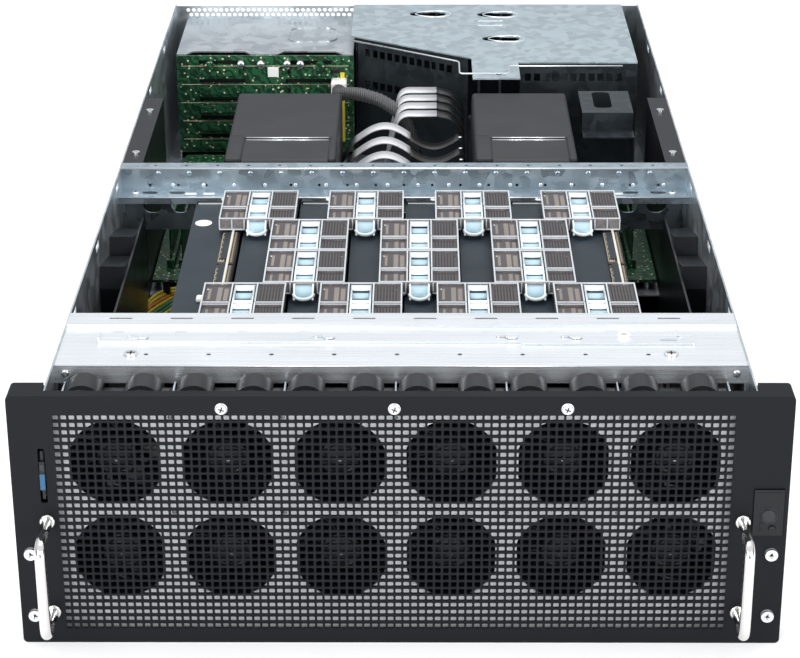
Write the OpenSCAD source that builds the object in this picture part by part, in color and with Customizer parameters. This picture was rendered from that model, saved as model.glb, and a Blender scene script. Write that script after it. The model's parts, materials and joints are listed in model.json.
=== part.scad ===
// Four-unit rack server with eight full-length accelerator cards, shown with its lid off.
// X runs to the right seen from the front, Y to the rear, Z up, in millimetres.
// Depths are measured backwards from the face of the front panel.

/* [Rack panel] */
// Width of the front panel across both ears
panel_w = 482.6; // [480:0.1:484]
// Height of the front panel, four rack units
panel_h = 174.3; // [172:0.1:177]
// Thickness of the panel sheet
panel_t = 2; // [1.5:0.1:3]
// Corner radius of the panel
panel_r = 3; // [1:0.5:6]
// Depth of the folded boxes behind the rack ears
ear_d = 21; // [18:0.5:24]
// Depth of the lip folded back along the panel's edges
lip_d = 8; // [6:0.5:9]
// Height step between rack hole pairs, one rack unit
rack_unit = 44.45; // [44.45:0.01:44.5]
// Distance of the rack screws from the panel's ends
rack_screw_edge = 8.75; // [8:0.05:10]
// Height of the lower pair of rack screws
rack_screw_z = 20.5; // [16:0.5:26]

/* [Body] */
// Width of each rack ear outside the body
ear_w = 21.3; // [20:0.1:22.5]
// Depth of the body from panel face to rear wall
body_d = 870; // [850:1:900]
// Height of the body without its lid
body_h = 172; // [170:0.1:172.2]
// Thickness of the body sheet
wall_t = 1.2; // [1:0.1:1.5]
// Height of the rear deck that carries the system board
deck_z = 58; // [52:1:62]

/* [Grille] */
// Columns of grille holes
grille_cols = 84; // [60:1:84]
// Rows of grille holes
grille_rows = 30; // [20:1:30]
// Gap between the side of the body and the grille
grille_side = 10.675; // [10:0.005:16]
// Gap between the grille and the top of the panel
grille_head = 13.03; // [12:0.01:20]
// Width of one grille hole
grille_hole = 3.65; // [3:0.05:4]
// Height of the grille's lowest edge
grille_z = 10.3; // [6:0.1:14]
// Thickness of the grille's cross bars
grille_bar_t = 1; // [0.8:0.1:1.5]

/* [Fans] */
// Sideways shift of the fans and the grille from the middle
front_shift = -3.5; // [-5:0.5:0]
// Gap between the side of the body and the outer fan modules
fan_side = 11.2; // [10.5:0.1:14]
// Upright pitch of the two fans in a module
fan_pitch_z = 66.3; // [64:0.1:67]
// Height of the lower row of fans
fan_z = 57.8; // [56:0.1:60]
// Wall left beside a fan's air duct
fan_rim = 4.4; // [4:0.1:6]
// Depth of a fan module
fan_d = 38; // [30:0.5:38.5]
// Gap between neighbouring fan modules
fan_gap = 1.8; // [1.6:0.1:2.4]
// Depth of the wall with the fan openings
fan_wall_y = 9.4; // [9.2:0.1:10.5]
// Depth of the flats that cut into a round fan opening
fan_flat = 1.75; // [1:0.05:3]
// Thickness of the sheet guides between the fan modules
fan_guide_t = 1; // [0.8:0.1:1.1]
// Diameter of a fan's hub
hub_d = 27; // [24:0.5:30]
// Diameter of a fan's shaft
shaft_d = 3; // [2.5:0.1:4]
// Blades on a fan
blade_count = 7; // [5:1:9]
// Width of a finger arch on a fan module
arch_w = 23; // [20:0.5:24]
// Height of a finger arch above the module
arch_h = 13; // [11:0.5:13.5]

/* [Handles] */
// Upright spacing of a handle's feet
handle_span = 65; // [60:0.5:70]
// Reach of the handles in front of the panel
handle_reach = 38; // [34:0.5:42]
// Diameter of the handle rod
handle_rod = 7; // [6:0.5:8]
// Height of a handle's lower foot
handle_z = 23.1; // [20:0.1:26]
// Inset of the handles from the sides of the body
handle_side = 3; // [2:0.1:4]

/* [Controls] */
// Thickness of the slide-out information tag
tag_t = 1.6; // [1.2:0.1:2]
// Travel of the slide-out information tag
tag_travel = 38; // [30:1:45]
// Diameter of the power button
power_button_d = 9.5; // [8:0.5:11]
// Diameter of the identification button
id_button_d = 4; // [3:0.5:5]
// Travel of both buttons
button_travel = 1; // [0.6:0.1:1.5]

/* [Card bay] */
// Free gap between a card's cooler and the next one
card_gap = 13; // [12:0.1:14]
// Cards fitted, out of ten positions
card_count = 8; // [4:2:8]
// Length of a card
card_l = 268; // [250:1:270]
// Free height between the cards and the top of the body
card_headroom = 15.6; // [14:0.1:20]
// Thickness of the circuit boards of the cards
card_t = 1.6; // [1.4:0.1:1.8]
// Depth at which the cards start
card_y = 124; // [122:1:126]
// Height of the switch board's underside
switch_z = 33; // [28:0.5:35]
// Thickness of the large boards
board_t = 2.4; // [2:0.1:3]
// Width of the air ducts along the side walls
duct_w = 18.3; // [16:0.1:18.6]
// Height of the card slots
slot_h = 11; // [10:0.5:12]
// Length of a link bridge, front to rear
bridge_l = 58.5; // [56:0.5:58.5]
// Overhang of a link bridge past the two boards that it joins
bridge_over = 8.25; // [7:0.05:8.5]
// Height of a link bridge
bridge_h = 9.3; // [8:0.1:9.5]

/* [Retention bar] */
// Depth at which the retention bar's plate starts
bar_y = 51.6; // [51:0.1:53]
// Front to rear size of the retention bar's plate
bar_plate_d = 61; // [58:0.5:62]
// Front to rear size of the raised strip behind the plate
bar_strip_d = 17.5; // [15:0.5:18]
// Height of the front lip of the retention bar
bar_lip = 11; // [8:0.5:12]
// Travel of the sliding lock bar
lock_travel = 8; // [6:0.5:9]
// Thickness of the sliding lock bar
lock_t = 1.2; // [1:0.1:1.3]
// Diameter of the studs that guide the lock bar
stud_d = 4; // [3:0.1:4.5]
// Travel of the lock bar's plunger
plunger_travel = 5; // [4:0.5:6]

/* [Rear] */
// Width of a power supply
psu_w = 86; // [84:0.5:87]
// Height of a power supply
psu_h = 40; // [39:0.5:41]
// Length of a power supply inside the body
psu_l = 230; // [200:1:235]
// Sideways pitch of the power supplies
psu_pitch = 92; // [90:0.5:96]
// Reach of the power supply handles behind the rear wall
rear_reach = 24; // [20:0.5:28]
// Gap between the side wall and the drive cage
drive_side = 10; // [6:0.5:14]
// Free height above the drive cage
drive_headroom = 13.5; // [12:0.1:18]
// Rows of drive carriers
drive_rows = 5; // [3:1:5]
// Length of a drive carrier
drive_l = 112; // [100:1:114]
// Width of the free air channel between the two air shrouds
centre_gap = 110.5; // [104:0.5:112]
// Height of the air shrouds above the system board
shroud_h = 97; // [90:0.5:98]
// Width of the black rails over the rear bay
rail_w = 15.5; // [14:0.5:17]
// Length of the black rails over the rear bay
rail_l = 160; // [140:1:165]

/* [Fits] */
// Clearance between a moving piece and its guide
run_gap = 0.3; // [0.2:0.05:0.4]
// Radial clearance of a fan hub on its shaft
shaft_gap = 0.05; // [0.03:0.01:0.08]
// Radial clearance of a screw in its hole
hole_gap = 0.25; // [0.1:0.05:0.4]

/* [Hidden] */
FAN_MODULES = [for (i = [1:6]) str("fan_module_", i)];
FAN_ROTORS = [for (i = [1:12]) str("fan_rotor_", i)];
POWER_SUPPLIES = [for (i = [1:4]) str("power_supply_", i)];
$fn = 48;

panel_black = [0.13, 0.13, 0.16];
plastic_black = [0.08, 0.08, 0.09];
galvanised = [0.78, 0.8, 0.82];
steel_blue = [0.52, 0.58, 0.62];
board_green = [0.1, 0.35, 0.2];
slate = [0.15, 0.22, 0.28];

front_y = handle_reach - (handle_reach + body_d + rear_reach) / 2;
body_w = panel_w - 2 * ear_w;
half_w = body_w / 2;
inner_w = half_w - wall_t;
floor_top = wall_t;
wall_y = lip_d;
rear_in = body_d - wall_t;
body_top = body_h;
eps = 0.01;

grille_x = front_shift - 0.5;
grille_w = body_w - 2 * grille_side;
grille_h = panel_h - grille_z - grille_head;
grille_pitch_x = (grille_w - grille_hole) / (grille_cols - 1);
grille_pitch_z = (grille_h - grille_hole) / (grille_rows - 1);
grille_left = grille_x - grille_w / 2;

// Fans
fan_cols = 6;
fan_x = front_shift + 0.5;
fan_pitch_x = (body_w - 2 * fan_side) / fan_cols;
fan_module_w = fan_pitch_x - fan_gap;
fan_bore = fan_module_w - 2 * fan_rim;
fan_opening_d = fan_bore + 0.5;
fan_opening_flat = fan_opening_d - 2 * fan_flat;
fan_screw_d = 4.3;
fan_screw_x = fan_bore / 2 - 1.5;
fan_y = fan_wall_y + wall_t + run_gap;
fan_bottom = fan_z - fan_pitch_z / 2;
fan_top = fan_z + 1.5 * fan_pitch_z;
rotor_y = fan_y + 4;
hub_l = 26;
bearing_l = 5;
function fan_centre(column) = fan_x + (column - (fan_cols + 1) / 2) * fan_pitch_x;
function fan_height(row) = fan_z + row * fan_pitch_z;

// Rack and panel screws
rack_screw_x = panel_w - 2 * rack_screw_edge;
rack_screw_heights = [rack_screw_z, rack_screw_z + rack_unit];
rack_screw_d = 5;
rack_thread_d = 4.8;
rack_screw_grip = 11;
panel_screw_d = 3;
panel_screw_z = 165.7;
panel_screw_pitch = fan_pitch_x * 1.5 + 1.5;
handle_x = body_w - 2 * handle_side;
handle_screw_d = 4;
handle_screw_l = 8;

// Control module, buttons and tag
control_x = half_w - 0.4;
control_w = panel_w / 2 - control_x - panel_r;
control_z = 78.7;
control_h = 32.1;
power_button_x = control_x + 9.4;
power_button_z = 92.7;
id_button_x = control_x + 12.1;
id_button_z = 83.7;
button_depth = 4;
tag_z = 100.7;
tag_h = 37.9;
tag_skin = 0.5;
tag_x = -(half_w + tag_skin + run_gap + tag_t / 2);
tag_edge = 2.4;
tag_l = ear_d + tag_travel + 5;

// Card bay
slot_count = 10;
card_pitch = body_w / (slot_count + 1);
shroud_w = card_pitch - card_gap;
card_board_x = card_pitch - 8;
card_left = -3.96 * card_pitch;
cap_w = 4.6;
bridge_w = card_pitch + 2 * bridge_over;
bridge_gap = 2;
card_bottom = switch_z + board_t + slot_h;
card_top = body_top - card_headroom;
shroud_top = card_top - 3;
card_back = card_y + card_l;
finger_l = 89;
finger_y = card_y + 96;
function card_x(position) = card_left + position * card_pitch;

// Retention bar and its lock
plate_top = body_top - 0.8;
strip_top = body_top + 1.2;
strip_y = bar_y + bar_plate_d;
bar_back = strip_y + bar_strip_d;
lock_y = 86;
lock_d = 17;
lock_left = -(inner_w - 23.1);
lock_right = inner_w - 29.8;
lock_step_x = inner_w * 0.4;
stud_head_d = 8;
stud_head_h = 1;
stud_places = [for (share = [-0.7633, -0.2125, 0.3268, 0.5165]) share * inner_w];
plunger_x = inner_w * 0.6581;
bar_screw_x = inner_w - 46.8;
plunger_y = lock_y + lock_d / 2;
plunger_stem_d = 5;
plunger_head_d = 8;
plunger_tip = plunger_travel / 2;

// Crossmember between the card bay and the rear bay
cross_y = 414;
cross_flange = 12;
cross_ledge = 20;
cross_drop = 18;
cross_web = 55;
cross_hole_pitch = inner_w / 10;

// Rear bay
deck_top = deck_z + wall_t;
deck_y = cross_y + cross_flange + 2;
standoff_h = 6;
system_z = deck_top + standoff_h;
system_top = system_z + board_t;
system_y = 440;
system_w = 2 * (inner_w - rail_w - 1.3);
system_back = body_d - 220;
system_left_back = body_d - 132;
bay_split = -48;
system_notch_x = bay_split - 14;
shroud_y = 456;
shroud_l = 168;
shroud_left_w = 89;
shroud_right_w = 81;
channel_x = 1.25;
shroud_left_x = channel_x - centre_gap / 2 - shroud_left_w;
shroud_right_x = channel_x + centre_gap / 2;
cover_t = 2;
drive_cage_x = -(inner_w - drive_side);
drive_cage_w = bay_split - drive_cage_x;
drive_w = (drive_cage_w - 3 * wall_t - 4 * run_gap) / 2;
drive_z = deck_top + 10;
drive_cage_top = body_top - drive_headroom;
drive_pitch = (drive_cage_top - wall_t - 2 * run_gap - drive_z) / drive_rows;
drive_cage_y = rear_in - drive_l - 2;
backplane_y = drive_cage_y - board_t;
riser_x = bay_split + 2;
riser_inset = 14.8;
riser_right = inner_w - riser_inset;
riser_wing_w = 146;
riser_mid_x = riser_right - riser_wing_w;
tongue_inset = 105;
riser_tongue_x = riser_right - tongue_inset;
riser_right_d = 184;
riser_y = body_d - riser_right_d;
riser_mid_d = 171;
riser_mid_y = body_d - riser_mid_d;
riser_left_d = 103;
riser_left_y = body_d - riser_left_d;
tongue_d = 230;
tongue_y = body_d - tongue_d;
bracket_pitch = 20.32;
bracket_count = 8;
bracket_z = 62;
bracket_top = body_top - 5;
function psu_x(index) = (index - 2.5) * psu_pitch;

// ---------- placing helpers: outlines drawn in a plane and given a thickness ----------

module at(x, depth, z) translate([x, front_y + depth, z]) children();

module block(x0, x1, d0, d1, z0, z1)
    at(x0, d0, z0) cube([x1 - x0, d1 - d0, z1 - z0]);

// Outline in X and Z, thickness towards the rear
module upright(depth, t)
    translate([0, front_y + depth + t, 0]) rotate([90, 0, 0]) linear_extrude(t) children();

// Outline in X and depth, thickness upwards
module level(z, t)
    translate([0, front_y, z]) linear_extrude(t) children();

// Outline in depth and Z, thickness to the right
module sideways(x, t)
    translate([x, front_y, 0]) rotate([90, 0, 90]) linear_extrude(t) children();

module area(x0, y0, x1, y1) translate([x0, y0]) square([x1 - x0, y1 - y0]);

module soft_area(x0, y0, x1, y1, r) {
    area(x0 + r, y0, x1 - r, y1);
    area(x0, y0 + r, x1, y1 - r);
    for (x = [x0 + r, x1 - r], y = [y0 + r, y1 - r]) translate([x, y]) circle(r);
}

module dot(x, y, d) translate([x, y]) circle(d = d);

module slot_area(x, y, l, d) {
    area(x - (l - d) / 2, y - d / 2, x + (l - d) / 2, y + d / 2);
    for (side = [-1, 1]) dot(x + side * (l - d) / 2, y, d);
}

// Rod along Y
module rod(x, d0, d1, z, d)
    at(x, d0, z) rotate([-90, 0, 0]) cylinder(d = d, h = d1 - d0);

module both_sides() {
    children();
    mirror([1, 0, 0]) children();
}

// Screw whose head rests at z = 0 and whose shank goes down
module screw(head_d, head_h, shank_d, shank_l) {
    recess = head_d * 0.55;
    difference() {
        cylinder(d = head_d, h = head_h);
        for (turn = [0, 90]) rotate(turn)
            translate([-recess / 2, -head_d * 0.08, head_h * 0.4])
                cube([recess, head_d * 0.16, head_h]);
    }
    translate([0, 0, -shank_l]) cylinder(d = shank_d, h = shank_l + eps);
}

module front_screw(x, depth, z, head_d, head_h, shank_d, shank_l)
    at(x, depth, z) rotate([90, 0, 0]) screw(head_d, head_h, shank_d, shank_l);

// Rack screw: its shank fills the ear box and its thread end stands out behind the ear
module rack_screw(x, z) {
    front_screw(x, 0, z, 8, 2.4, rack_screw_d, ear_d);
    rod(x, ear_d - eps, ear_d + rack_screw_grip, z, rack_thread_d);
}

module top_screw(x, depth, z, head_d, head_h, shank_d, shank_l)
    at(x, depth, z) screw(head_d, head_h, shank_d, shank_l);

// ---------- chassis sheet metal ----------

module standoffs(places, z0, z1, d)
    for (p = places) at(p[0], p[1], z0) cylinder(d = d, h = z1 - z0);

switch_half = inner_w - 13.8;
switch_y = card_y - 12;
switch_standoffs = [for (x = [-1, -1/3, 1/3, 1], y = [switch_y + 8, cross_y - 152, cross_y - 10])
    [x * (switch_half - 15), y]];
deck_standoffs = [for (x = [7 - system_w / 2, bay_split - 4, 37, system_w / 2 - 7],
                       y = [system_y + 6, system_back - 8]) [x, y]];

module chassis_floor() color(galvanised) {
    level(0, wall_t) area(-half_w, wall_y, half_w, body_d);
    standoffs(switch_standoffs, floor_top - eps, switch_z, 7);
}

module side_wall(tag_passes) {
    lid_slot = [14, 5];
    difference() {
        sideways(inner_w, wall_t) difference() {
            area(wall_y, floor_top, body_d, body_top);
            for (depth = [140:120:body_d - 60])
                area(depth, body_top - 9, depth + lid_slot[0], body_top - 9 + lid_slot[1]);
        }
    }
    // Ear flange bent outwards for the rack posts
    upright(ear_d - wall_t, wall_t) difference() {
        area(inner_w, panel_t + hole_gap, panel_w / 2 - panel_t - hole_gap, body_top);
        for (z = rack_screw_heights) dot(rack_screw_x / 2, z, rack_screw_d + 2 * hole_gap);
        if (tag_passes)
            area(-tag_x - tag_t / 2 - run_gap, tag_z, -tag_x + tag_t / 2 + run_gap, tag_z + tag_h);
    }
    // Headed studs that hang in the rack rails
    for (i = [0:3]) at(half_w, 70 + i * (body_d - 150) / 3, body_top / 2) rotate([0, 90, 0]) {
        translate([0, 0, -eps]) cylinder(d = 4, h = 2.4);
        translate([0, 0, 2.2]) cylinder(d = 7, h = 1.2);
    }
}

module side_wall_right() color(galvanised) side_wall(false);
module side_wall_left() color(galvanised) mirror([1, 0, 0]) side_wall(true);

module rear_wall() color(galvanised) {
    upright(rear_in, wall_t) difference() {
        area(-inner_w, floor_top, inner_w, body_top - wall_t);
        for (i = [1:4])
            area(psu_x(i) - psu_w / 2 - run_gap, floor_top - eps,
                 psu_x(i) + psu_w / 2 + run_gap, floor_top + psu_h + 2 * run_gap);
        area(drive_cage_x + wall_t, drive_z - run_gap,
             drive_cage_x + drive_cage_w - wall_t, drive_cage_top - wall_t);
        for (i = [0:bracket_count - 1])
            area(riser_x + 18 + i * bracket_pitch, bracket_z + 4,
                 riser_x + 30 + i * bracket_pitch, bracket_top - 7);
        for (i = [0:30], row = [0, 1])
            dot(-208 + i * 5.2 + row * 2.6, body_top - 5 - row * 4.6, 3.6);
    }
}

module rear_deck() color(galvanised) {
    level(deck_z, wall_t) difference() {
        area(-inner_w, deck_y, inner_w, rear_in);
        for (i = [-3:3]) slot_area(i * inner_w / 4, deck_y + 8, 30, 6);
    }
    both_sides() block(inner_w - wall_t, inner_w, deck_y, rear_in, deck_z - 8, deck_z + eps);
    standoffs(deck_standoffs, deck_top - eps, system_z, 6);
}

// ---------- front panel ----------

module panel_outline() soft_area(-panel_w / 2, 0, panel_w / 2, panel_h, panel_r);

module front_panel() color(panel_black) upright(0, panel_t) difference() {
    panel_outline();
    for (i = [0:grille_cols - 1])
        translate([grille_left + i * grille_pitch_x, grille_z]) square([grille_hole, grille_h]);
    for (i = [-1:1])
        dot(front_shift + i * panel_screw_pitch, panel_screw_z, panel_screw_d + 2 * hole_gap);
    for (side = [-1, 1]) {
        for (z = rack_screw_heights)
            dot(side * rack_screw_x / 2, z, rack_screw_d + 2 * hole_gap);
        for (z = [handle_z, handle_z + handle_span])
            dot(front_shift + side * handle_x / 2, z, handle_screw_d + 2 * hole_gap);
    }
    area(control_x - hole_gap, control_z - hole_gap,
         control_x + control_w + hole_gap, control_z + control_h + hole_gap);
    soft_area(tag_x - 2.2, tag_z, tag_x + 2.2, tag_z + tag_h, 1.2);
}

module grille_cross_bars() color(panel_black) upright(panel_t, grille_bar_t) difference() {
    area(grille_left - 4, grille_z - 4, grille_left + grille_w + 4, grille_z + grille_h + 2);
    for (row = [0:grille_rows - 1])
        area(grille_left - 1, grille_z + row * grille_pitch_z,
             grille_left + grille_w + 1, grille_z + row * grille_pitch_z + grille_hole);
}

module panel_frame() color(panel_black) {
    ear_x = half_w + run_gap;
    upright(panel_t, lip_d - panel_t) difference() {
        panel_outline();
        area(-panel_w / 2 + panel_t, panel_t, panel_w / 2 - panel_t, panel_h - panel_t);
    }
    upright(lip_d - eps, ear_d - wall_t - lip_d + eps) difference() {
        intersection() {
            panel_outline();
            union() {
                area(ear_x, 0, panel_w / 2, panel_h);
                area(-panel_w / 2, 0, -ear_x, panel_h);
            }
        }
        area(-panel_w / 2 + panel_t, panel_t, panel_w / 2 - panel_t, panel_h - panel_t);
    }
}

module fan_wall() color(galvanised) upright(fan_wall_y, wall_t) difference() {
    area(-inner_w, floor_top, inner_w, body_top);
    for (column = [1:fan_cols], row = [0, 1]) intersection() {
        dot(fan_centre(column), fan_height(row), fan_opening_d);
        area(fan_centre(column) - fan_opening_flat / 2, fan_height(row) - fan_opening_flat / 2,
             fan_centre(column) + fan_opening_flat / 2, fan_height(row) + fan_opening_flat / 2);
    }
    for (column = [1:fan_cols - 1], row = [0, 1])
        dot(fan_centre(column) + fan_pitch_x / 2, fan_height(row) + fan_pitch_z / 2 - 2, 3);
    for (column = [1:fan_cols], row = [0, 1])
        slot_area(fan_centre(column) + fan_pitch_x / 2 - 3, fan_height(row) - fan_pitch_z / 2 + 5, 6, 2);
}

// Shelf under the fan modules, its connectors, and the guides between the modules
module fan_cage() color(galvanised) {
    left = fan_centre(1) - fan_pitch_x / 2 - fan_guide_t;
    right = fan_centre(fan_cols) + fan_pitch_x / 2 + fan_guide_t;
    back = fan_y + fan_d;
    sideways(left, right - left) difference() {
        area(fan_y, floor_top, back, fan_bottom - run_gap);
        area(fan_y + wall_t, floor_top - eps, back - wall_t, fan_bottom - run_gap - wall_t);
    }
    for (i = [0:fan_cols])
        block(fan_centre(i) + fan_pitch_x / 2 - fan_guide_t / 2,
              fan_centre(i) + fan_pitch_x / 2 + fan_guide_t / 2,
              fan_y, back, fan_bottom - run_gap, fan_top + 4);
}

// ---------- fan modules ----------

module finger_arch(x, w) {
    band = 2.6;
    r_out = w / 2;
    depth = fan_y + 13;
    upright(depth, 19) translate([x, fan_top - eps]) intersection() {
        difference() {
            arch_outline(r_out, arch_h);
            arch_outline(r_out - band, arch_h - band);
        }
        area(-w, 0, w, arch_h);
    }
}

// Half round arch on short upright legs
module arch_outline(r, h) {
    area(-r, -eps, r, h - r * 0.62);
    intersection() {
        translate([0, h - r * 1.12]) circle(r = r * 1.12, $fn = 64);
        area(-r, h - r * 0.62 - eps, r, h);
    }
}

module fan_module(column) color(plastic_black) {
    x = fan_centre(column);
    w = fan_module_w;
    strut = 3;
    difference() {
        block(x - w / 2, x + w / 2, fan_y, fan_y + fan_d, fan_bottom, fan_top);
        for (row = [0, 1]) {
            rod(x, fan_y - 1, fan_y + fan_d + 1, fan_height(row), fan_bore);
            for (side = [-1, 1], lift = [-1, 1])
                rod(x + side * fan_screw_x, fan_y - 1, fan_y + fan_d + 1,
                    fan_height(row) + lift * fan_screw_x, fan_screw_d);
        }
        // Waist between the two fans
        for (side = [-1, 1])
            block(x + side * w / 2 - 2, x + side * w / 2 + 2, fan_y + 8, fan_y + fan_d - 8,
                  fan_bottom + fan_pitch_z - 1.5, fan_bottom + fan_pitch_z + 1.5);
    }
    for (row = [0, 1]) {
        upright(fan_y + fan_d - strut, strut) difference() {
            union() {
                dot(x, fan_height(row), hub_d + 1);
                for (turn = [45:90:315]) translate([x, fan_height(row)]) rotate(turn)
                    area(0, -1.6, fan_bore / 2 + 1, 1.6);
            }
            dot(x, fan_height(row), shaft_d - eps);
        }
        rod(x, rotor_y, fan_y + fan_d, fan_height(row), shaft_d);
    }
    finger_arch(x - w * 0.31, arch_w);
    finger_arch(x + w * 0.236, arch_w);
    // Latch tongues at both top corners
    for (side = [-1, 1])
        block(x + side * (w / 2 - 4) - 2.5, x + side * (w / 2 - 4) + 2.5,
              fan_y + 14, fan_y + 26, fan_top - eps, fan_top + 5);
}

module fan_rotor(index) color(plastic_black) {
    column = 1 + floor((index - 1) / 2);
    row = (index - 1) % 2;
    rotor_r = fan_bore / 2 - 0.8;
    blade_t = 1.4;
    at(fan_centre(column), rotor_y, fan_height(row)) rotate([-90, 0, 0]) difference() {
        union() {
            cylinder(d = hub_d, h = hub_l);
            intersection() {
                cylinder(r = rotor_r, h = hub_l);
                union() for (blade = [0:blade_count - 1]) rotate(blade * 360 / blade_count)
                    translate([0, 0, hub_l / 2]) rotate([38, 0, 0])
                        translate([hub_d / 2 - 2, -13, -blade_t / 2]) cube([rotor_r, 26, blade_t]);
            }
        }
        translate([0, 0, -1]) cylinder(d = shaft_d + 2 * shaft_gap, h = hub_l + 2);
        translate([0, 0, bearing_l]) difference() {
            cylinder(d = hub_d - 3, h = hub_l);
            cylinder(d = shaft_d + 5, h = hub_l);
        }
    }
}

// ---------- handles, screws and controls ----------

module handle(x) {
    bend = 9;
    reach = handle_reach - handle_rod / 2;
    foot_d = handle_rod + 3;
    difference() {
        union() {
            for (z = [handle_z, handle_z + handle_span]) {
                rod(x, -(reach - bend), 0, z, handle_rod);
                rod(x, -2, 0, z, foot_d);
            }
            at(x, -reach, handle_z + bend) cylinder(d = handle_rod, h = handle_span - 2 * bend);
            at(x, -(reach - bend), handle_z + bend) rotate([0, 90, 0]) rotate([0, 0, -90])
                rotate_extrude(angle = 90) translate([bend, 0]) circle(d = handle_rod);
            at(x, -(reach - bend), handle_z + handle_span - bend) rotate([0, 90, 0]) rotate([0, 0, 180])
                rotate_extrude(angle = 90) translate([bend, 0]) circle(d = handle_rod);
        }
        for (z = [handle_z, handle_z + handle_span])
            rod(x, -handle_screw_l - 1, 1, z, handle_screw_d + 2 * shaft_gap);
    }
}

module handle_left() color("silver") handle(front_shift - handle_x / 2);
module handle_right() color("silver") handle(front_shift + handle_x / 2);

module front_screws() color("silver") {
    for (i = [-1:1])
        front_screw(front_shift + i * panel_screw_pitch, 0, panel_screw_z,
                    6, 1.6, panel_screw_d, lip_d - 1);
    for (side = [-1, 1]) {
        for (z = rack_screw_heights) rack_screw(side * rack_screw_x / 2, z);
        for (z = [handle_z, handle_z + handle_span])
            at(front_shift + side * handle_x / 2, panel_t, z) rotate([-90, 0, 0])
                screw(6, 2.2, handle_screw_d, handle_screw_l + panel_t);
    }
}

module control_module() color(plastic_black) difference() {
    union() {
        block(control_x, control_x + control_w, -1.2, panel_t, control_z, control_z + control_h);
        block(half_w + run_gap + 0.5, control_x + control_w - 1, panel_t - eps, ear_d - wall_t - 1,
              control_z, control_z + control_h);
    }
    rod(power_button_x, -3, button_depth, power_button_z, power_button_d + 2 * run_gap);
    rod(id_button_x, -3, button_depth, id_button_z, id_button_d + 2 * run_gap);
    rod(control_x + 5.2, -3, 1, control_z + 9, 1.6);
}

module button(x, z, d) difference() {
    rod(x, -1.2 - button_travel, button_depth - button_travel - 0.2, z, d);
    rod(x, -2 - button_travel, -0.9 - button_travel, z, d * 0.55);
}

module power_button() color(plastic_black) button(power_button_x, power_button_z, power_button_d);
module id_button() color(plastic_black) button(id_button_x, id_button_z, id_button_d);

module info_tag() color(plastic_black) {
    grip_z = tag_z + tag_h / 2;
    block(tag_x - tag_t / 2, tag_x + tag_t / 2, 1, tag_l, tag_z + tag_edge, tag_z + tag_h - tag_edge);
    block(tag_x - 1.6, tag_x + 1.6, -1, 1 + eps, grip_z - 10, grip_z + 10);
}

module tag_sleeve() color(plastic_black) {
    hole = tag_t / 2 + run_gap;
    difference() {
        block(tag_x - hole - tag_skin, -half_w, ear_d, tag_l + 8, tag_z, tag_z + tag_h);
        block(tag_x - hole, tag_x + hole, ear_d - 1, tag_l + 9,
              tag_z + tag_edge - run_gap, tag_z + tag_h - tag_edge + run_gap);
    }
}

// ---------- retention bar with its sliding lock ----------

module lock_outline() {
    soft_area(lock_left, lock_y, lock_step_x, lock_y + lock_d - 4, 1.5);
    soft_area(lock_step_x - 10, lock_y - 3, lock_right, lock_y + lock_d - 4, 1.5);
    for (position = [0:slot_count - 1])
        area(card_x(position - 1) + 12, lock_y + lock_d - 6,
             card_x(position - 1) + 18, lock_y + lock_d);
}

module card_bar() color(galvanised) {
    plate_z = plate_top - wall_t;
    level(plate_z, wall_t) difference() {
        area(-inner_w, bar_y, inner_w, strip_y);
        slot_area(plunger_x + lock_travel / 2, plunger_y,
                  plunger_stem_d + lock_travel + 2 * run_gap, plunger_stem_d + 2 * run_gap);
        for (position = [1:slot_count - 1]) dot(card_x(position - 1) - 4, bar_y + 17, 3);
        for (side = [-1, 1]) dot(side * bar_screw_x, bar_y + 17, 5);
    }
    block(-inner_w, inner_w, bar_y, bar_y + wall_t, plate_top - bar_lip - wall_t, plate_z + eps);
    block(-inner_w, inner_w, strip_y - wall_t, strip_y, plate_z, strip_top);
    level(strip_top - wall_t, wall_t) difference() {
        area(-inner_w, strip_y - eps, inner_w, bar_back);
        for (position = [0:slot_count - 1])
            slot_area(card_x(position - 1) + 14, strip_y + bar_strip_d / 2, 15, 2);
    }
    block(-inner_w, inner_w, bar_back - wall_t, bar_back, strip_top - 14, strip_top - wall_t + eps);
    both_sides() block(inner_w - wall_t, inner_w, bar_y + 4, bar_back - 4, plate_z - 22, plate_z + eps);
    for (x = stud_places) at(x, lock_y + lock_d / 2 - 2, plate_top - eps) {
        cylinder(d = stud_d, h = lock_t + 0.5 + eps);
        translate([0, 0, lock_t + 0.5]) cylinder(d = stud_head_d, h = stud_head_h);
    }
}

module lock_bar() color(galvanised) {
    z = plate_top + 0.1;
    level(z, lock_t) difference() {
        lock_outline();
        for (x = stud_places)
            slot_area(x - lock_travel / 2, lock_y + lock_d / 2 - 2,
                      stud_d + lock_travel + 2 * run_gap, stud_d + 2 * run_gap);
        dot(plunger_x, plunger_y, plunger_stem_d + 2 * hole_gap);
        area(lock_right - 22, lock_y + 1, lock_right - 8, lock_y + 4);
        area(lock_right - 11, lock_y + 1, lock_right - 8, lock_y + 10);
    }
    block(lock_left, lock_left + lock_t, lock_y + 2, lock_y + lock_d - 6, z, z + 2.8);
}

module lock_plunger() color("lightsteelblue") {
    z = plate_top + 0.1 + lock_t;
    at(plunger_x, plunger_y, z) {
        cylinder(d = plunger_head_d, h = 1.4);
        translate([0, 0, -lock_t - plunger_tip]) cylinder(d = plunger_stem_d, h = lock_t + plunger_tip + eps);
    }
}

// ---------- crossmember ----------

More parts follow.
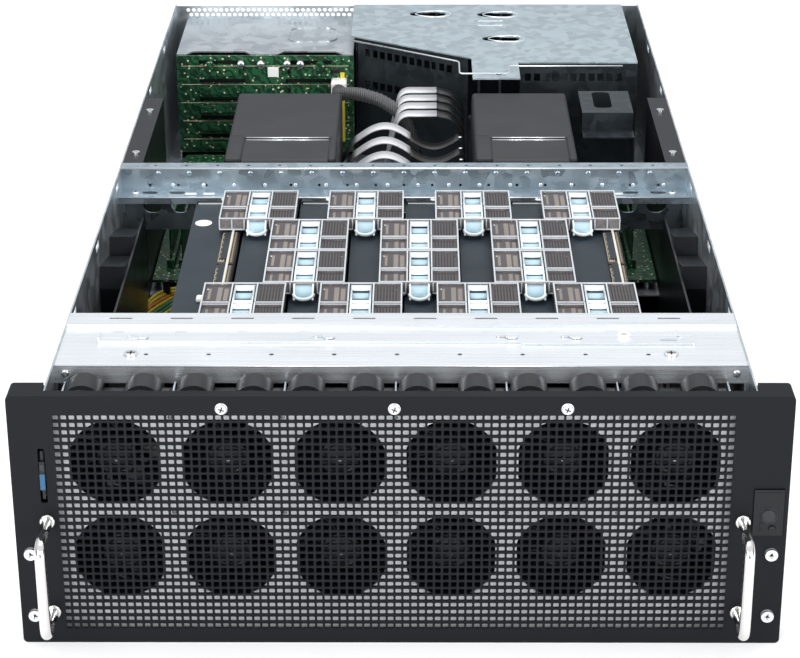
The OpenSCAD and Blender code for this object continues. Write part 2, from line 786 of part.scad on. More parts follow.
module crossmember() color(steel_blue) {
    ledge_z = body_top - cross_drop;
    face_y = cross_y;
    ledge_y = cross_y - cross_ledge;
    back = cross_y + cross_flange;
    level(body_top - wall_t, wall_t) difference() {
        area(-inner_w, face_y, inner_w, back);
        for (i = [-8:8]) dot(i * cross_hole_pitch * 1.1, face_y + cross_flange / 2, 2.6);
    }
    upright(face_y, wall_t) difference() {
        area(-inner_w, ledge_z, inner_w, body_top - wall_t + eps);
        for (i = [-9:9]) dot(i * cross_hole_pitch, ledge_z + 4, 2.2);
    }
    level(ledge_z, wall_t) difference() {
        area(-inner_w, ledge_y, inner_w, face_y + eps);
        for (side = [-1, 1], inset = [22.8, 43.8])
            slot_area(side * (inner_w - inset), ledge_y + 11, 12, 5);
    }
    block(-inner_w, inner_w, ledge_y, ledge_y + wall_t, ledge_z - 4, ledge_z + eps);
    upright(back - wall_t, wall_t) difference() {
        area(-inner_w, body_top - cross_web, inner_w, body_top - wall_t + eps);
        for (i = [-9:9])
            slot_area(i * cross_hole_pitch, body_top - cross_web + 20, cross_hole_pitch - 7, 12);
    }
    both_sides()
        block(inner_w - wall_t, inner_w, face_y + 2, back - 2, body_top - cross_web, body_top - 1);
}

// ---------- cards ----------

module card(position) {
    x = card_x(position);
    board_x = x + card_board_x;
    base_z = card_bottom + 1;
    // Cooler with rounded ends, open towards the fans and the rear
    difference() {
        sideways(x, shroud_w) soft_area(card_y, base_z, card_back, shroud_top, 5);
        for (row = [0:6])
            block(x + 3, x + shroud_w - 3, card_y - 1, card_y + 14,
                  base_z + 10 + row * 13, base_z + 16 + row * 13);
        for (row = [0:6])
            block(x + 3, x + shroud_w - 3, card_back - 14, card_back + 1,
                  base_z + 10 + row * 13, base_z + 16 + row * 13);
    }
    block(x + shroud_w - eps, board_x, card_y + 6, card_back - 6, base_z + 6, shroud_top - 6);
    // Circuit board with its contact edge in the slot
    sideways(board_x - eps, card_t + eps) {
        area(card_y - 2, card_bottom + 0.5, card_back + 1, card_top);
        area(finger_y, card_bottom - slot_h + 3, finger_y + finger_l - 3, card_bottom + 1);
    }
    block(board_x + card_t - eps, board_x + card_t + 4.4, card_y + 8, card_back - 8,
          base_z + 4, shroud_top - 4);
    // Link connectors along the top edge
    for (row = bridge_rows)
        block(board_x - cap_w, board_x + eps, row + 4, row + bridge_l - 4, card_top - 9, card_top);
    // Bracket that closes the rear end of the cooler
    block(x + 0.5, board_x - cap_w, card_back - 7.5, card_back - 0.2, shroud_top - 6, shroud_top + 2);
}

bridge_rows = [for (i = [0:3]) card_y + 18 + i * (bridge_l + bridge_gap)];

module accelerator_cards() color(slate) for (position = [0:card_count - 1]) card(position);

// Clear link bridge: a tray with two cells on each side of a pull strap
module bridge(x, depth, strap_reach) {
    z = card_top;
    wall = 1.3;
    split = depth + bridge_l * 0.41;
    grip_w = 16;
    left = x - bridge_w / 2;
    right = x + bridge_w / 2;
    difference() {
        block(left, right, depth, depth + bridge_l, z, z + bridge_h);
        for (cell = [[left + wall, x - grip_w / 2 - wall], [x + grip_w / 2 + wall, right - wall]]) {
            block(cell[0], cell[1], depth + wall, split, z + bridge_h / 2, z + bridge_h + 1);
            block(cell[0], cell[1], split + wall, depth + bridge_l - wall,
                  z + bridge_h * 0.7, z + bridge_h + 1);
        }
        block(x - grip_w / 2, x + grip_w / 2, depth + wall, depth + bridge_l - wall,
              z + bridge_h * 0.4, z + bridge_h + 1);
        block(left - 1, right + 1, depth - 1, depth + wall, z + bridge_h * 0.72, z + bridge_h + 1);
    }
    // Strap: two arms that dip over the front edge, joined by cross bars
    for (side = [-1, 1]) sideways(x + side * (grip_w / 2 - 1.6) - 1, 2) polygon([
        [depth + bridge_l * 0.62, z + bridge_h * 0.4 - eps], [depth + bridge_l * 0.62, z + bridge_h - 0.7],
        [split, z + bridge_h], [depth + 2, z + bridge_h - 1], [depth - strap_reach, z + 1.2],
        [depth - strap_reach, z - 0.6], [depth - strap_reach * 0.18, z + 2.4], [split, z + bridge_h - 2.5],
        [depth + bridge_l * 0.55, z + bridge_h - 2.5], [depth + bridge_l * 0.55, z + bridge_h * 0.4 - eps]]);
    for (bar = [[bridge_l * 0.55, bridge_h - 2.4], [bridge_l * 0.36, bridge_h - 2.4], [5, bridge_h - 4.2]])
        block(x - grip_w / 2 + 1, x + grip_w / 2 - 1, depth + bar[0], depth + bar[0] + 3,
              z + bar[1], z + bar[1] + 1.5);
    block(x - grip_w / 2 + 1, x + grip_w / 2 - 1, depth - strap_reach, depth - strap_reach + 1.5,
          z - 0.4, z + 1.2);
}

module link_bridges() color("lightcyan") {
    strap_short = 1.6;
    strap_long = 11;
    offset_x = card_board_x - cap_w - 5.3 + bridge_w / 2;
    for (pair = [0:2:card_count - 2], row = [0, 3])
        bridge(card_x(pair) + offset_x, bridge_rows[row], strap_long);
    for (pair = [1:2:card_count - 3], row = [1, 2])
        bridge(card_x(pair) + offset_x, bridge_rows[row], row == 1 ? strap_long : strap_short);
}

module switch_board() color(board_green) {
    groove = card_t + 2 * hole_gap;
    body = 7.6;
    level(switch_z, board_t) area(-switch_half, switch_y, switch_half, cross_y - 4);
    for (position = [-1:slot_count - 2]) {
        x = card_x(position) + card_board_x + card_t / 2;
        difference() {
            block(x - body / 2, x + body / 2, finger_y - 4, finger_y + finger_l + 4,
                  switch_z + board_t - eps, card_bottom);
            block(x - groove / 2, x + groove / 2, finger_y - hole_gap, finger_y + finger_l,
                  switch_z + board_t + 2, card_bottom + 1);
        }
    }
}

// Stepped air ducts against both side walls
module air_ducts() color(plastic_black) both_sides() {
    skin = 2;
    duct_x = inner_w - duct_w;
    plate_x = duct_x - 1.5;
    base = switch_z + board_t;
    top = body_top - 23;
    back = card_back - 12;
    front = back - 114;
    step = back - 52;
    difference() {
        sideways(duct_x, duct_w) polygon([
            [front, base], [front, top - 16], [front + 4, top], [step - 8, top - 12], [step - 6, top - 26],
            [step, top], [back - 4, top - 12], [back, top - 30], [back, base]]);
        sideways(duct_x + skin, duct_w) polygon([
            [front + skin, base - 1], [front + skin, top - 32],
            [back - skin, top - 34], [back - skin, base - 1]]);
    }
    block(plate_x, duct_x + eps, card_y + 26, card_back, base, top - 6);
}

// ---------- rear bay ----------

rail_screws = [22, rail_l - 34];

module side_rails() color(plastic_black) both_sides() {
    top = body_top - 0.5;
    difference() {
        block(inner_w - rail_w, inner_w, deck_y, deck_y + rail_l, deck_top, top);
        block(inner_w - rail_w + 3.5, inner_w + 1, deck_y - 1, deck_y + rail_l + 1, deck_top - 1, top - 3.5);
        for (depth = rail_screws)
            at(inner_w - rail_w / 2, deck_y + depth, top - 5) cylinder(d = 3 + 2 * hole_gap, h = 6);
    }
}

module air_shroud(x, w, l) {
    z0 = system_top;
    z1 = system_top + shroud_h;
    step = 50;
    difference() {
        union() {
            upright(shroud_y, l) soft_area(x, z0 - 6, x + w, z1, 5);
        }
        block(x - 1, x + w + 1, shroud_y - 1, shroud_y + l + 1, z0 - 20, z0);
        block(x + cover_t, x + w - cover_t, shroud_y - 1, shroud_y + l + 1, z0 - 1, z1 - cover_t - 1.5);
        block(x + 15, x + w - 6, shroud_y - 1, shroud_y + step, z1 - 1.2, z1 + 1);
    }
}

module air_shrouds() color(plastic_black) {
    air_shroud(shroud_left_x, shroud_left_w, shroud_l);
    air_shroud(shroud_right_x, shroud_right_w, shroud_l);
}

module system_board() color(board_green) {
    level(system_z, board_t) {
        area(-system_w / 2, system_y, system_w / 2, system_back);
        area(-system_w / 2, system_back - eps, system_notch_x, system_left_back);
    }
    for (x = [shroud_left_x + shroud_left_w / 2, shroud_right_x + shroud_right_w / 2])
        block(x - socket_w / 2, x + socket_w / 2, shroud_y + 40, shroud_y + 40 + socket_l,
              system_top - eps, system_top + socket_h);
    for (x = dimm_places)
        block(x - 3.2, x + 3.2, dimm_y, dimm_y + dimm_l + 9, system_top - eps, system_top + dimm_socket_h);
}

module heat_sinks() color("silver") {
    base_z = system_top + socket_h;
    half = 36;
    fin_pitch = 3.2;
    fin_h = 80;
    for (x = [shroud_left_x + shroud_left_w / 2, shroud_right_x + shroud_right_w / 2])
        upright(shroud_y + 24, socket_l + 32) {
            area(x - half, base_z, x + half, base_z + 6);
            for (i = [-11:11])
                area(x + i * fin_pitch - 0.3, base_z + 5, x + i * fin_pitch + 0.3, base_z + fin_h);
        }
}

socket_w = 56;
socket_l = 76;
socket_h = 6;
dimm_pitch = (system_w / 2 + shroud_left_x - 11) / 5;
dimm_y = shroud_y + 8;
dimm_l = 133;
dimm_socket_h = 7;
dimm_h = 27;
dimm_places = concat(
    [for (i = [0:4]) shroud_left_x - 8 - i * dimm_pitch],
    [for (i = [0:4]) shroud_right_x + shroud_right_w + 8 + i * dimm_pitch]);

module memory_modules() color(board_green)
    for (x = dimm_places)
        sideways(x - 0.7, 1.4)
            area(dimm_y + 4, system_top + dimm_socket_h,
                 dimm_y + 4 + dimm_l, system_top + dimm_socket_h + dimm_h);

module drive_cage() color(galvanised) {
    x0 = drive_cage_x;
    x1 = drive_cage_x + drive_cage_w;
    mid = (x0 + x1) / 2;
    level(drive_cage_top - wall_t, wall_t) difference() {
        area(x0, drive_cage_y, x1, rear_in);
        for (x = [x0 + 38, x1 - 40]) polygon([
            [x - 30, drive_cage_y - 1], [x - 23, drive_cage_y + 9],
            [x + 23, drive_cage_y + 9], [x + 30, drive_cage_y - 1]]);
    }
    // Raised rim of the finger dish
    level(drive_cage_top - eps, 0.8) difference() {
        soft_area(x1 - 62, rear_in - 76, x1 - 16, rear_in - 30, 12);
        soft_area(x1 - 60, rear_in - 74, x1 - 18, rear_in - 32, 10);
    }
    for (x = [x0, mid - wall_t / 2, x1 - wall_t])
        block(x, x + wall_t, drive_cage_y, rear_in, deck_top, drive_cage_top - wall_t + eps);
}

module backplane() color(board_green) {
    x0 = drive_cage_x;
    x1 = drive_cage_x + drive_cage_w;
    z0 = drive_z - 4;
    difference() {
        upright(backplane_y, board_t) difference() {
            area(x0, z0, x1, drive_cage_top - 1);
            for (x = [x0 + 20, x1 - 62], row = [0:drive_rows - 1])
                area(x, z0 + 14 + row * drive_pitch, x + 42, z0 + 18 + row * drive_pitch);
        }
    }
    for (x = [x0 + drive_w / 2, x1 - drive_w / 2], row = [0:drive_rows - 1])
        block(x - 18, x + 18, backplane_y - 5, backplane_y + eps,
              z0 + 5 + row * drive_pitch, z0 + 11 + row * drive_pitch);
    for (x = [x0 + 30, x1 - 30])
        rod(x, backplane_y - 9, backplane_y + eps, drive_cage_top - 9, 8);
}

module drive_carriers() color(panel_black) {
    for (column = [0, 1], row = [0:drive_rows - 1]) {
        x = drive_cage_x + wall_t + run_gap + column * (drive_w + wall_t + 2 * run_gap);
        z = drive_z + row * drive_pitch;
        difference() {
            block(x, x + drive_w, drive_cage_y + 2, body_d + 0.8, z, z + drive_pitch - 1.8);
            for (i = [0:11])
                block(x + 6 + i * 4.4, x + 9 + i * 4.4, body_d - 6, body_d + 2,
                      z + 3, z + drive_pitch - 4.8);
            block(x + 62, x + drive_w - 3, body_d - 3, body_d + 2, z + 2.5, z + drive_pitch - 4.3);
        }
    }
}

module power_supply(index) color(galvanised) {
    x = psu_x(index);
    z = floor_top + run_gap / 3;
    face = body_d + 1.5;
    ring = 3;
    difference() {
        block(x - psu_w / 2, x + psu_w / 2, body_d - psu_l, face, z, z + psu_h);
        rod(x - 18, face - 4, face + 1, z + psu_h / 2, 34);
        block(x + 10, x + 36, face - 14, face + 1, z + 4, z + 25);
    }
    for (d = [10, 22]) upright(face - 4 - eps, 1.2) difference() {
        dot(x - 18, z + psu_h / 2, d + 2);
        dot(x - 18, z + psu_h / 2, d);
    }
    upright(face - 4 - eps, 1.2) for (turn = [0, 60, 120]) translate([x - 18, z + psu_h / 2])
        rotate(turn) area(-17.5, -0.7, 17.5, 0.7);
    // Pull handle: a strap that stands off the face
    level(z + psu_h - 12, 8) difference() {
        soft_area(x + 4, face - 8, x + 42, body_d + rear_reach, 5);
        soft_area(x + 4 + ring, face - 5, x + 42 - ring, body_d + rear_reach - ring, 3);
        area(x, face - 10, x + 46, face - eps);
    }
}

module riser_cover() color(steel_blue)
    level(body_top - wall_t, wall_t) difference() {
        polygon([
            [riser_x - 4, body_d], [riser_x - 4, riser_left_y], [riser_mid_x, riser_mid_y],
            [riser_mid_x, tongue_y], [riser_tongue_x, tongue_y], [riser_tongue_x, riser_y],
            [riser_right, riser_y], [riser_right, body_d]]);
        for (place = riser_holes) {
            slot_area(place[0], place[1], 34, 13);
            dot(place[0] + place[2] * 6, place[1], 17);
        }
        dot(riser_tongue_x - 18, tongue_y + 12, 5);
    }

riser_holes = [[20, body_d - 32, 1], [riser_tongue_x - 16, body_d - 34, -1],
    [riser_tongue_x - 13, body_d - 112, -1]];

// Perforated walls under the riser cover and the blanking brackets of its slots
module riser_cage() color(steel_blue) {
    top = body_top - wall_t;
    run = riser_mid_x - riser_x;
    rise = riser_left_y - riser_mid_y;
    slope = atan2(-rise, run);
    front_l = sqrt(run * run + rise * rise);
    block(riser_x, riser_x + wall_t, riser_left_y + 4, rear_in, deck_top, top);
    difference() {
        block(riser_right - wall_t, riser_right, riser_y, rear_in, deck_top, top);
        for (depth = [riser_y + 14:9:riser_y + 100], row = [0, 1])
            block(riser_right - 3, riser_right + 1, depth, depth + 6, top - 18 - row * 9, top - 12 - row * 9);
    }
    upright(riser_y, wall_t) difference() {
        area(riser_tongue_x + 2, deck_top, riser_right - wall_t + eps, top);
        for (i = [0:10])
            area(riser_tongue_x + 6 + i * 8, top - 16, riser_tongue_x + 11.5 + i * 8, top - 9);
    }
    at(riser_x + 2, riser_left_y - 2, 0) rotate(slope) difference() {
        translate([0, 0, deck_top]) cube([front_l - 6, wall_t, top - deck_top]);
        for (i = [0:11], row = [0, 1])
            translate([8 + i * 8, -1, top - 16 - row * 30]) cube([5.6, wall_t + 2, 7]);
    }
    for (i = [0:bracket_count - 1])
        block(riser_x + 15 + i * bracket_pitch, riser_x + 33 + i * bracket_pitch,
              rear_in - 0.9, rear_in, bracket_z, bracket_top);
    card_support();
}

// Stepped bracket over the right-hand memory modules
module card_support() {
    x0 = shroud_right_x + shroud_right_w + 10;
    x1 = system_w / 2 - 12;
    front = shroud_y + 107;
    back = front + 58;
    top = body_top - 6.5;
    step = 15;
    lip = 19;
    level(top, wall_t) difference() {
        area(x0, front, x1, back);
        soft_area(x0 + 11, back - 45, x0 + 26, back - 3, 5);
    }
    upright(front, wall_t) area(x0, top - step, x1, top + eps);
    level(top - step, wall_t) area(x0, front - lip, x1, front + wall_t);
    block(x1 - wall_t, x1, front - lip, back, system_top, top - step + eps);
    block(x1 - wall_t, x1, front, back, top - step, top + eps);
}

// ---------- inner cables ----------

ribbon_t = 1.2;
ribbon_w = 22;
ribbon_gap = 5.5;
ribbon_count = 7;
ribbon_rise = 78;
ribbon_base = system_top + 8;
ribbon_left = shroud_left_x + shroud_left_w + 8;
ribbon_right = shroud_right_x - 6;

// Height of a ribbon along its run: it climbs from one plug, crowns and falls to the other
function ribbon_height(s, crown) = ribbon_base + crown * pow(sin(180 * min(1, max(0, s))), 0.6);

module ribbon(depth, crown) {
    steps = 20;
    span = ribbon_right - ribbon_left;
    over = [for (i = [0:steps]) [ribbon_left + span * i / steps, ribbon_height(i / steps, crown) + ribbon_t]];
    under = [for (i = [steps:-1:0])
        [ribbon_left + span * i / steps, ribbon_height(i / steps, crown - ribbon_t)]];
    upright(depth, ribbon_w) polygon(concat(over, under));
    for (x = [ribbon_left - 3, ribbon_right - 7])
        block(x, x + 10, depth, depth + ribbon_w, system_top, ribbon_base - eps);
}

loom_d = 12;
loom_plug = 14;
loom_route = [
    [-61, -15.4, 130], [-61, -28, 130], [-58, -46, 136], [-50, -64, 143], [-38, -80, 147],
    [-22, -92, 146], [-8, -101, 140], [2, -106, 128], [7, -109, 112], [9, -110, 96], [9, -110, 76]];

module loom() {
    sides = 10;
    count = len(loom_route);
    function unit(v) = v / norm(v);
    function heading(i) = unit(loom_route[min(count - 1, i + 1)] - loom_route[max(0, i - 1)]);
    function ring(i) = let (t = heading(i), u = unit(cross(t, [1, 0.2, 0])), v = cross(t, u))
        [for (k = [0:sides - 1]) loom_route[i] + [0, front_y + backplane_y, 0]
            + loom_d / 2 * (cos(360 * k / sides) * u + sin(360 * k / sides) * v)];
    points = [for (i = [0:count - 1]) each ring(i)];
    faces = concat(
        [[for (k = [0:sides - 1]) k]],
        [for (i = [0:count - 2], k = [0:sides - 1])
            [i * sides + k, (i + 1) * sides + k, (i + 1) * sides + (k + 1) % sides,
             i * sides + (k + 1) % sides]],
        [[for (k = [sides - 1:-1:0]) (count - 1) * sides + k]]);
    polyhedron(points, faces, convexity = 4);
}

module internal_cables() color("dimgray") {
    for (i = [0:ribbon_count - 1])
        ribbon(system_y + 8 + i * (ribbon_w + ribbon_gap), ribbon_rise + 4 * (i % 2));
    loom();
    start = loom_route[0];
    end = loom_route[len(loom_route) - 1];
    block(start[0] - loom_plug / 2, start[0] + loom_plug / 2, backplane_y + start[1], backplane_y,
          start[2] - loom_plug / 2, start[2] + loom_plug / 2);
    block(end[0] - loom_plug / 2, end[0] + loom_plug / 2, backplane_y + end[1] - loom_plug / 2,
          backplane_y + end[1] + loom_plug / 2, system_top, end[2]);
}

// Screws of the retention bar and of the rails
module case_screws() color("silver") {
    both_sides() for (depth = rail_screws)
        top_screw(inner_w - rail_w / 2, deck_y + depth, body_top - 0.5, 6, 1.2, 3, 4);
    both_sides() top_screw(bar_screw_x, bar_y + 17, plate_top, 9, 1, 4.4, 3);
}

// ---------- drawing ----------

chassis_floor();
side_wall_left();
side_wall_right();
rear_wall();
rear_deck();
front_panel();
grille_cross_bars();
panel_frame();
fan_wall();
fan_cage();
handle_left();
handle_right();
front_screws();
case_screws();
control_module();
power_button();
id_button();
info_tag();
tag_sleeve();
card_bar();
lock_bar();
lock_plunger();
crossmember();
accelerator_cards();
link_bridges();
switch_board();
air_ducts();
side_rails();
air_shrouds();
system_board();
heat_sinks();
memory_modules();
drive_cage();
backplane();
drive_carriers();
riser_cover();
riser_cage();
internal_cables();
for (i = [1:6]) fan_module(i);
for (i = [1:12]) fan_rotor(i);
for (i = [1:4]) power_supply(i);
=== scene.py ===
"""Dresses the four-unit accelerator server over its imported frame.

Lengths inside the classes are millimetres. Depths are measured backwards from the
face of the front panel, and every mesh is brought to metres as it is made.
"""

import json
import logging
import math
from dataclasses import dataclass, field
from enum import Enum
from typing import Any, Sequence

import bmesh
import bpy
import numpy as np
from mathutils import Matrix
from mathutils.geometry import delaunay_2d_cdt

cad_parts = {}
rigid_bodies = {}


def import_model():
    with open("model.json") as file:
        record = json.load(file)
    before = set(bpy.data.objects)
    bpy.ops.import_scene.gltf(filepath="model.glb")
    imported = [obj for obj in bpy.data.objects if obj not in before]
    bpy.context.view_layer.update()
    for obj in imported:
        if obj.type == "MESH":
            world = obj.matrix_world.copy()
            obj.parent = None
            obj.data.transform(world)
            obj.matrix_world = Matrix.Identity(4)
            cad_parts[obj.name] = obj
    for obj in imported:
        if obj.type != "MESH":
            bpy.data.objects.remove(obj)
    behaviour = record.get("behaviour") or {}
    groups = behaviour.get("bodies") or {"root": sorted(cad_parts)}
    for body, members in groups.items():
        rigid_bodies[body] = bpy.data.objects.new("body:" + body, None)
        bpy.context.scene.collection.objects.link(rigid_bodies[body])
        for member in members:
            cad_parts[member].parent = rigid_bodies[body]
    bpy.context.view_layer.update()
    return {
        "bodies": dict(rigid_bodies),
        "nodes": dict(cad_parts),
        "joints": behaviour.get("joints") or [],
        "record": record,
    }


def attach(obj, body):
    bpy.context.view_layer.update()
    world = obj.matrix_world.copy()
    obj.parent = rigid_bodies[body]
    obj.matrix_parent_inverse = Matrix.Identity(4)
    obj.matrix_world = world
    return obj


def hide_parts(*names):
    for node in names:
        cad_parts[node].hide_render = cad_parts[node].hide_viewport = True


LOG = logging.getLogger("server")
MM = 0.001
FRONT = -428.0
ROOT = "chassis"
Points = np.ndarray
Faces = np.ndarray


# ---------------------------------------------------------------- finishes


class Grain(Enum):
    """Surface character of a finish."""

    SMOOTH = "smooth"
    SPANGLED = "spangled"
    BRUSHED = "brushed"
    TEXTURED = "textured"
    MOULDED = "moulded"


class Graph:
    """Shader graph of one finish, with the few node groups that the finishes share."""

    def __init__(self, name: str) -> None:
        """Opens a new material of that name."""
        self.material = bpy.data.materials.new(name)
        self.material.use_nodes = True
        self.tree = self.material.node_tree
        self.shader = self.tree.nodes["Principled BSDF"]
        self.place = self.node("ShaderNodeTexCoord").outputs["Object"]

    def node(self, kind: str, inputs: dict[str, Any] | None = None, **settings: Any) -> Any:
        """Adds a node.

        Args:
            kind: Blender's name of the node type.
            inputs: values or sockets for its inputs, by name.
            settings: attributes of the node itself.

        Returns:
            The new node.
        """
        made = self.tree.nodes.new(kind)
        for key, value in settings.items():
            setattr(made, key, value)
        for key, value in (inputs or {}).items():
            self.feed(made.inputs[key], value)
        return made

    def feed(self, socket: Any, value: Any) -> None:
        """Links a socket to another one, or sets it to a constant."""
        if isinstance(value, bpy.types.NodeSocket):
            self.tree.links.new(value, socket)
        else:
            socket.default_value = value

    def stretched(self, scale: Sequence[float]) -> Any:
        """Object coordinates stretched along the axes, for streaks and ribs."""
        return self.node("ShaderNodeMapping", {"Vector": self.place, "Scale": tuple(scale)}).outputs["Vector"]

    def noise(self, scale: float, detail: float = 2.0, vector: Any = None) -> Any:
        """Fractal noise with that many features a metre."""
        made = self.node("ShaderNodeTexNoise", {"Scale": scale, "Detail": detail, "Vector": vector or self.place})
        return made.outputs["Fac"]

    def ramp(self, factor: Any, stops: Sequence[tuple[float, Sequence[float]]]) -> Any:
        """Colours spread over a factor.

        Args:
            factor: socket with values from 0 to 1.
            stops: position and colour of each stop, lowest first.

        Returns:
            The colour socket.
        """
        made = self.node("ShaderNodeValToRGB", {"Fac": factor})
        elements = made.color_ramp.elements
        while len(elements) < len(stops):
            elements.new(0.5)
        for element, (position, colour) in zip(elements, stops):
            element.position = position
            element.color = (*colour[:3], 1.0)
        return made.outputs["Color"]

    def mix(self, factor: Any, low: Any, high: Any) -> Any:
        """Blend of two colours by a factor."""
        made = self.node("ShaderNodeMix", data_type="RGBA")
        self.feed(made.inputs[0], factor)
        for slot, value in ((6, low), (7, high)):
            self.feed(made.inputs[slot], value if isinstance(value, bpy.types.NodeSocket) else (*value[:3], 1.0))
        return made.outputs[2]

    def spread(self, factor: Any, low: float, high: float) -> Any:
        """Factor from 0.3..0.7 spread over a range of numbers."""
        made = self.node("ShaderNodeMapRange", {"Value": factor, "From Min": 0.3, "From Max": 0.7,
                                                "To Min": low, "To Max": high})
        return made.outputs["Result"]

    def bump(self, height: Any, strength: float, distance: float) -> None:
        """Raises the surface by a height socket, in metres at most distance."""
        made = self.node("ShaderNodeBump", {"Height": height, "Strength": strength, "Distance": distance})
        self.feed(self.shader.inputs["Normal"], made.outputs["Normal"])

    def set(self, **constants: Any) -> None:
        """Sets constants on the shader; underscores in the names stand for spaces."""
        for key, value in constants.items():
            self.shader.inputs[key.replace("_", " ")].default_value = value


@dataclass(frozen=True)
class Finish:
    """A surface finish: its colour, gloss, and the grain that breaks it up."""

    name: str
    tint: tuple[float, float, float]
    roughness: float = 0.45
    metallic: float = 0.0
    grain: Grain = Grain.TEXTURED
    scale: float = 900.0
    depth: float = 0.00003
    variation: float = 0.18
    coat: float = 0.0
    sheen: float = 0.5

    def shaded(self, factor: float) -> tuple[float, float, float]:
        """The tint made lighter or darker by a factor."""
        return tuple(min(1.0, max(0.0, c * factor)) for c in self.tint)

    def paint(self) -> bpy.types.Material:
        """The material of this finish, made once and then reused."""
        found = bpy.data.materials.get(self.name)
        if found:
            return found
        graph = Graph(self.name)
        graph.set(Metallic=self.metallic, Coat_Weight=self.coat, Specular_IOR_Level=self.sheen)
        self.draw(graph)
        return graph.material

    def draw(self, graph: Graph) -> None:
        """Fills the graph: broad cloudy colour change, gloss change, and a fine relief."""
        low, high = self.shaded(1 - self.variation), self.shaded(1 + self.variation)
        cloud = graph.noise(26.0, 3.0)
        if self.grain is Grain.SPANGLED:
            cells = graph.node("ShaderNodeTexVoronoi", {"Scale": self.scale, "Vector": graph.place})
            grey = graph.node("ShaderNodeRGBToBW", {"Color": cells.outputs["Color"]}).outputs["Val"]
            colour = graph.mix(grey, low, high)
            fine = graph.noise(self.scale * 6, 2.0)
            graph.feed(graph.shader.inputs["Roughness"],
                       graph.spread(grey, self.roughness * 0.82, self.roughness * 1.2))
        elif self.grain is Grain.BRUSHED:
            fine = graph.noise(1.0, 3.0, graph.stretched((9.0, self.scale, self.scale)))
            colour = graph.mix(cloud, low, high)
            graph.feed(graph.shader.inputs["Roughness"],
                       graph.spread(fine, self.roughness * 0.75, self.roughness * 1.25))
        else:
            fine = graph.noise(self.scale, 4.0)
            colour = graph.mix(cloud, low, high)
            graph.feed(graph.shader.inputs["Roughness"],
                       graph.spread(cloud, self.roughness * 0.88, self.roughness * 1.12))
        graph.feed(graph.shader.inputs["Base Color"], colour)
        if self.grain is not Grain.SMOOTH:
            graph.bump(fine, 0.35, self.depth)


@dataclass(frozen=True)
class BoardFinish(Finish):
    """Solder mask over copper: traces run along the board and small pads catch the light."""

    pads: tuple[float, float, float] = (0.62, 0.58, 0.4)

    def draw(self, graph: Graph) -> None:
        """Wavy bands give the traces and the hearts of random cells give the pads."""
        wave = graph.node("ShaderNodeTexWave", {"Scale": 60.0, "Distortion": 9.0, "Detail": 2.0,
                                                "Detail Scale": 2.2, "Vector": graph.place},
                          bands_direction="DIAGONAL")
        tracks = graph.ramp(wave.outputs["Fac"], [(0.42, self.shaded(0.55)), (0.5, self.tint),
                                                  (0.58, self.shaded(1.7))])
        cells = graph.node("ShaderNodeTexVoronoi", {"Scale": 210.0, "Vector": graph.place})
        dots = graph.ramp(cells.outputs["Distance"], [(0.16, (1, 1, 1)), (0.22, (0, 0, 0))])
        colour = graph.mix(dots, tracks, self.pads)
        graph.feed(graph.shader.inputs["Base Color"], colour)
        graph.set(Roughness=self.roughness)
        graph.bump(dots, 0.5, 0.0002)


@dataclass(frozen=True)
class ClearFinish(Finish):
    """Clear moulded plastic that carries a slight tint."""

    clarity: float = 0.8

    def draw(self, graph: Graph) -> None:
        """Light passes through, broken a little by the flow marks of the mould."""
        flow = graph.noise(240.0, 2.0)
        graph.feed(graph.shader.inputs["Base Color"], graph.mix(flow, self.shaded(0.92), self.shaded(1.05)))
        graph.set(Roughness=self.roughness, IOR=1.49, Transmission_Weight=self.clarity)
        graph.bump(flow, 0.15, 0.0001)


@dataclass(frozen=True)
class WovenFinish(Finish):
    """Ribbed or woven cable jacket: fine ribs run across its length."""

    rib: tuple[float, float, float] = (1.0, 0.0, 0.0)

    def draw(self, graph: Graph) -> None:
        """Ribs follow the chosen axis, and the colour follows the same wave that raises them: darker in the grooves and
        lighter on the crests, painted shade and highlight on the ribs; a noise fades the bands back to the plain tint
        in patches.
        """
        ribs = graph.node("ShaderNodeTexWave", {"Scale": self.scale, "Distortion": 0.6, "Detail": 1.0,
                                                "Vector": graph.stretched(self.rib)},
                          bands_direction="X").outputs["Fac"]
        cloud = graph.noise(160.0, 3.0)
        # Rib colour from the bump's wave: painted shade in the grooves, painted highlight on the crests.
        colour = graph.mix(ribs, self.shaded(1 - self.variation), self.shaded(1 + self.variation))
        graph.feed(graph.shader.inputs["Base Color"], graph.mix(cloud, colour, self.tint))
        graph.set(Roughness=self.roughness)
        graph.bump(ribs, 0.6, self.depth)


POWDER_BLACK = Finish("powder_black", (0.0042, 0.0046, 0.0065), 0.5, 0.0, Grain.TEXTURED, 2300, 0.00004, 0.12,
                      sheen=0.16)
EDGE_BLACK = Finish("edge_black", (0.03, 0.032, 0.038), 0.24, 0.0, Grain.SMOOTH)
MODULE_BLACK = Finish("moulded_black", (0.007, 0.007, 0.008), 0.34, 0.0, Grain.MOULDED, 1500, 0.00002, 0.2,
                      sheen=0.35)
GLOSS_BLACK = Finish("gloss_black", (0.004, 0.0045, 0.006), 0.2, 0.0, Grain.SMOOTH, sheen=0.3)
DUSK_PLASTIC = Finish("shroud_grey", (0.012, 0.0135, 0.016), 0.48, 0.0, Grain.MOULDED, 1300, 0.00003, 0.1,
                      sheen=0.4)
DUCT_BLACK = Finish("duct_black", (0.006, 0.007, 0.009), 0.34, 0.0, Grain.MOULDED, 900, 0.00003, 0.2, sheen=0.3)
GALVANISED = Finish("galvanised", (0.5, 0.54, 0.57), 0.34, 0.9, Grain.SPANGLED, 95, 0.00001, 0.09)
BRIGHT_SHEET = Finish("bright_sheet", (0.8, 0.83, 0.86), 0.3, 0.86, Grain.BRUSHED, 700, 0.00001, 0.05)
PALE_SHEET = Finish("pale_sheet", (0.86, 0.87, 0.89), 0.5, 0.1, Grain.SPANGLED, 110, 0.00001, 0.04)
BLUE_SHEET = Finish("blue_sheet", (0.36, 0.43, 0.48), 0.33, 0.86, Grain.SPANGLED, 120, 0.00001, 0.1)
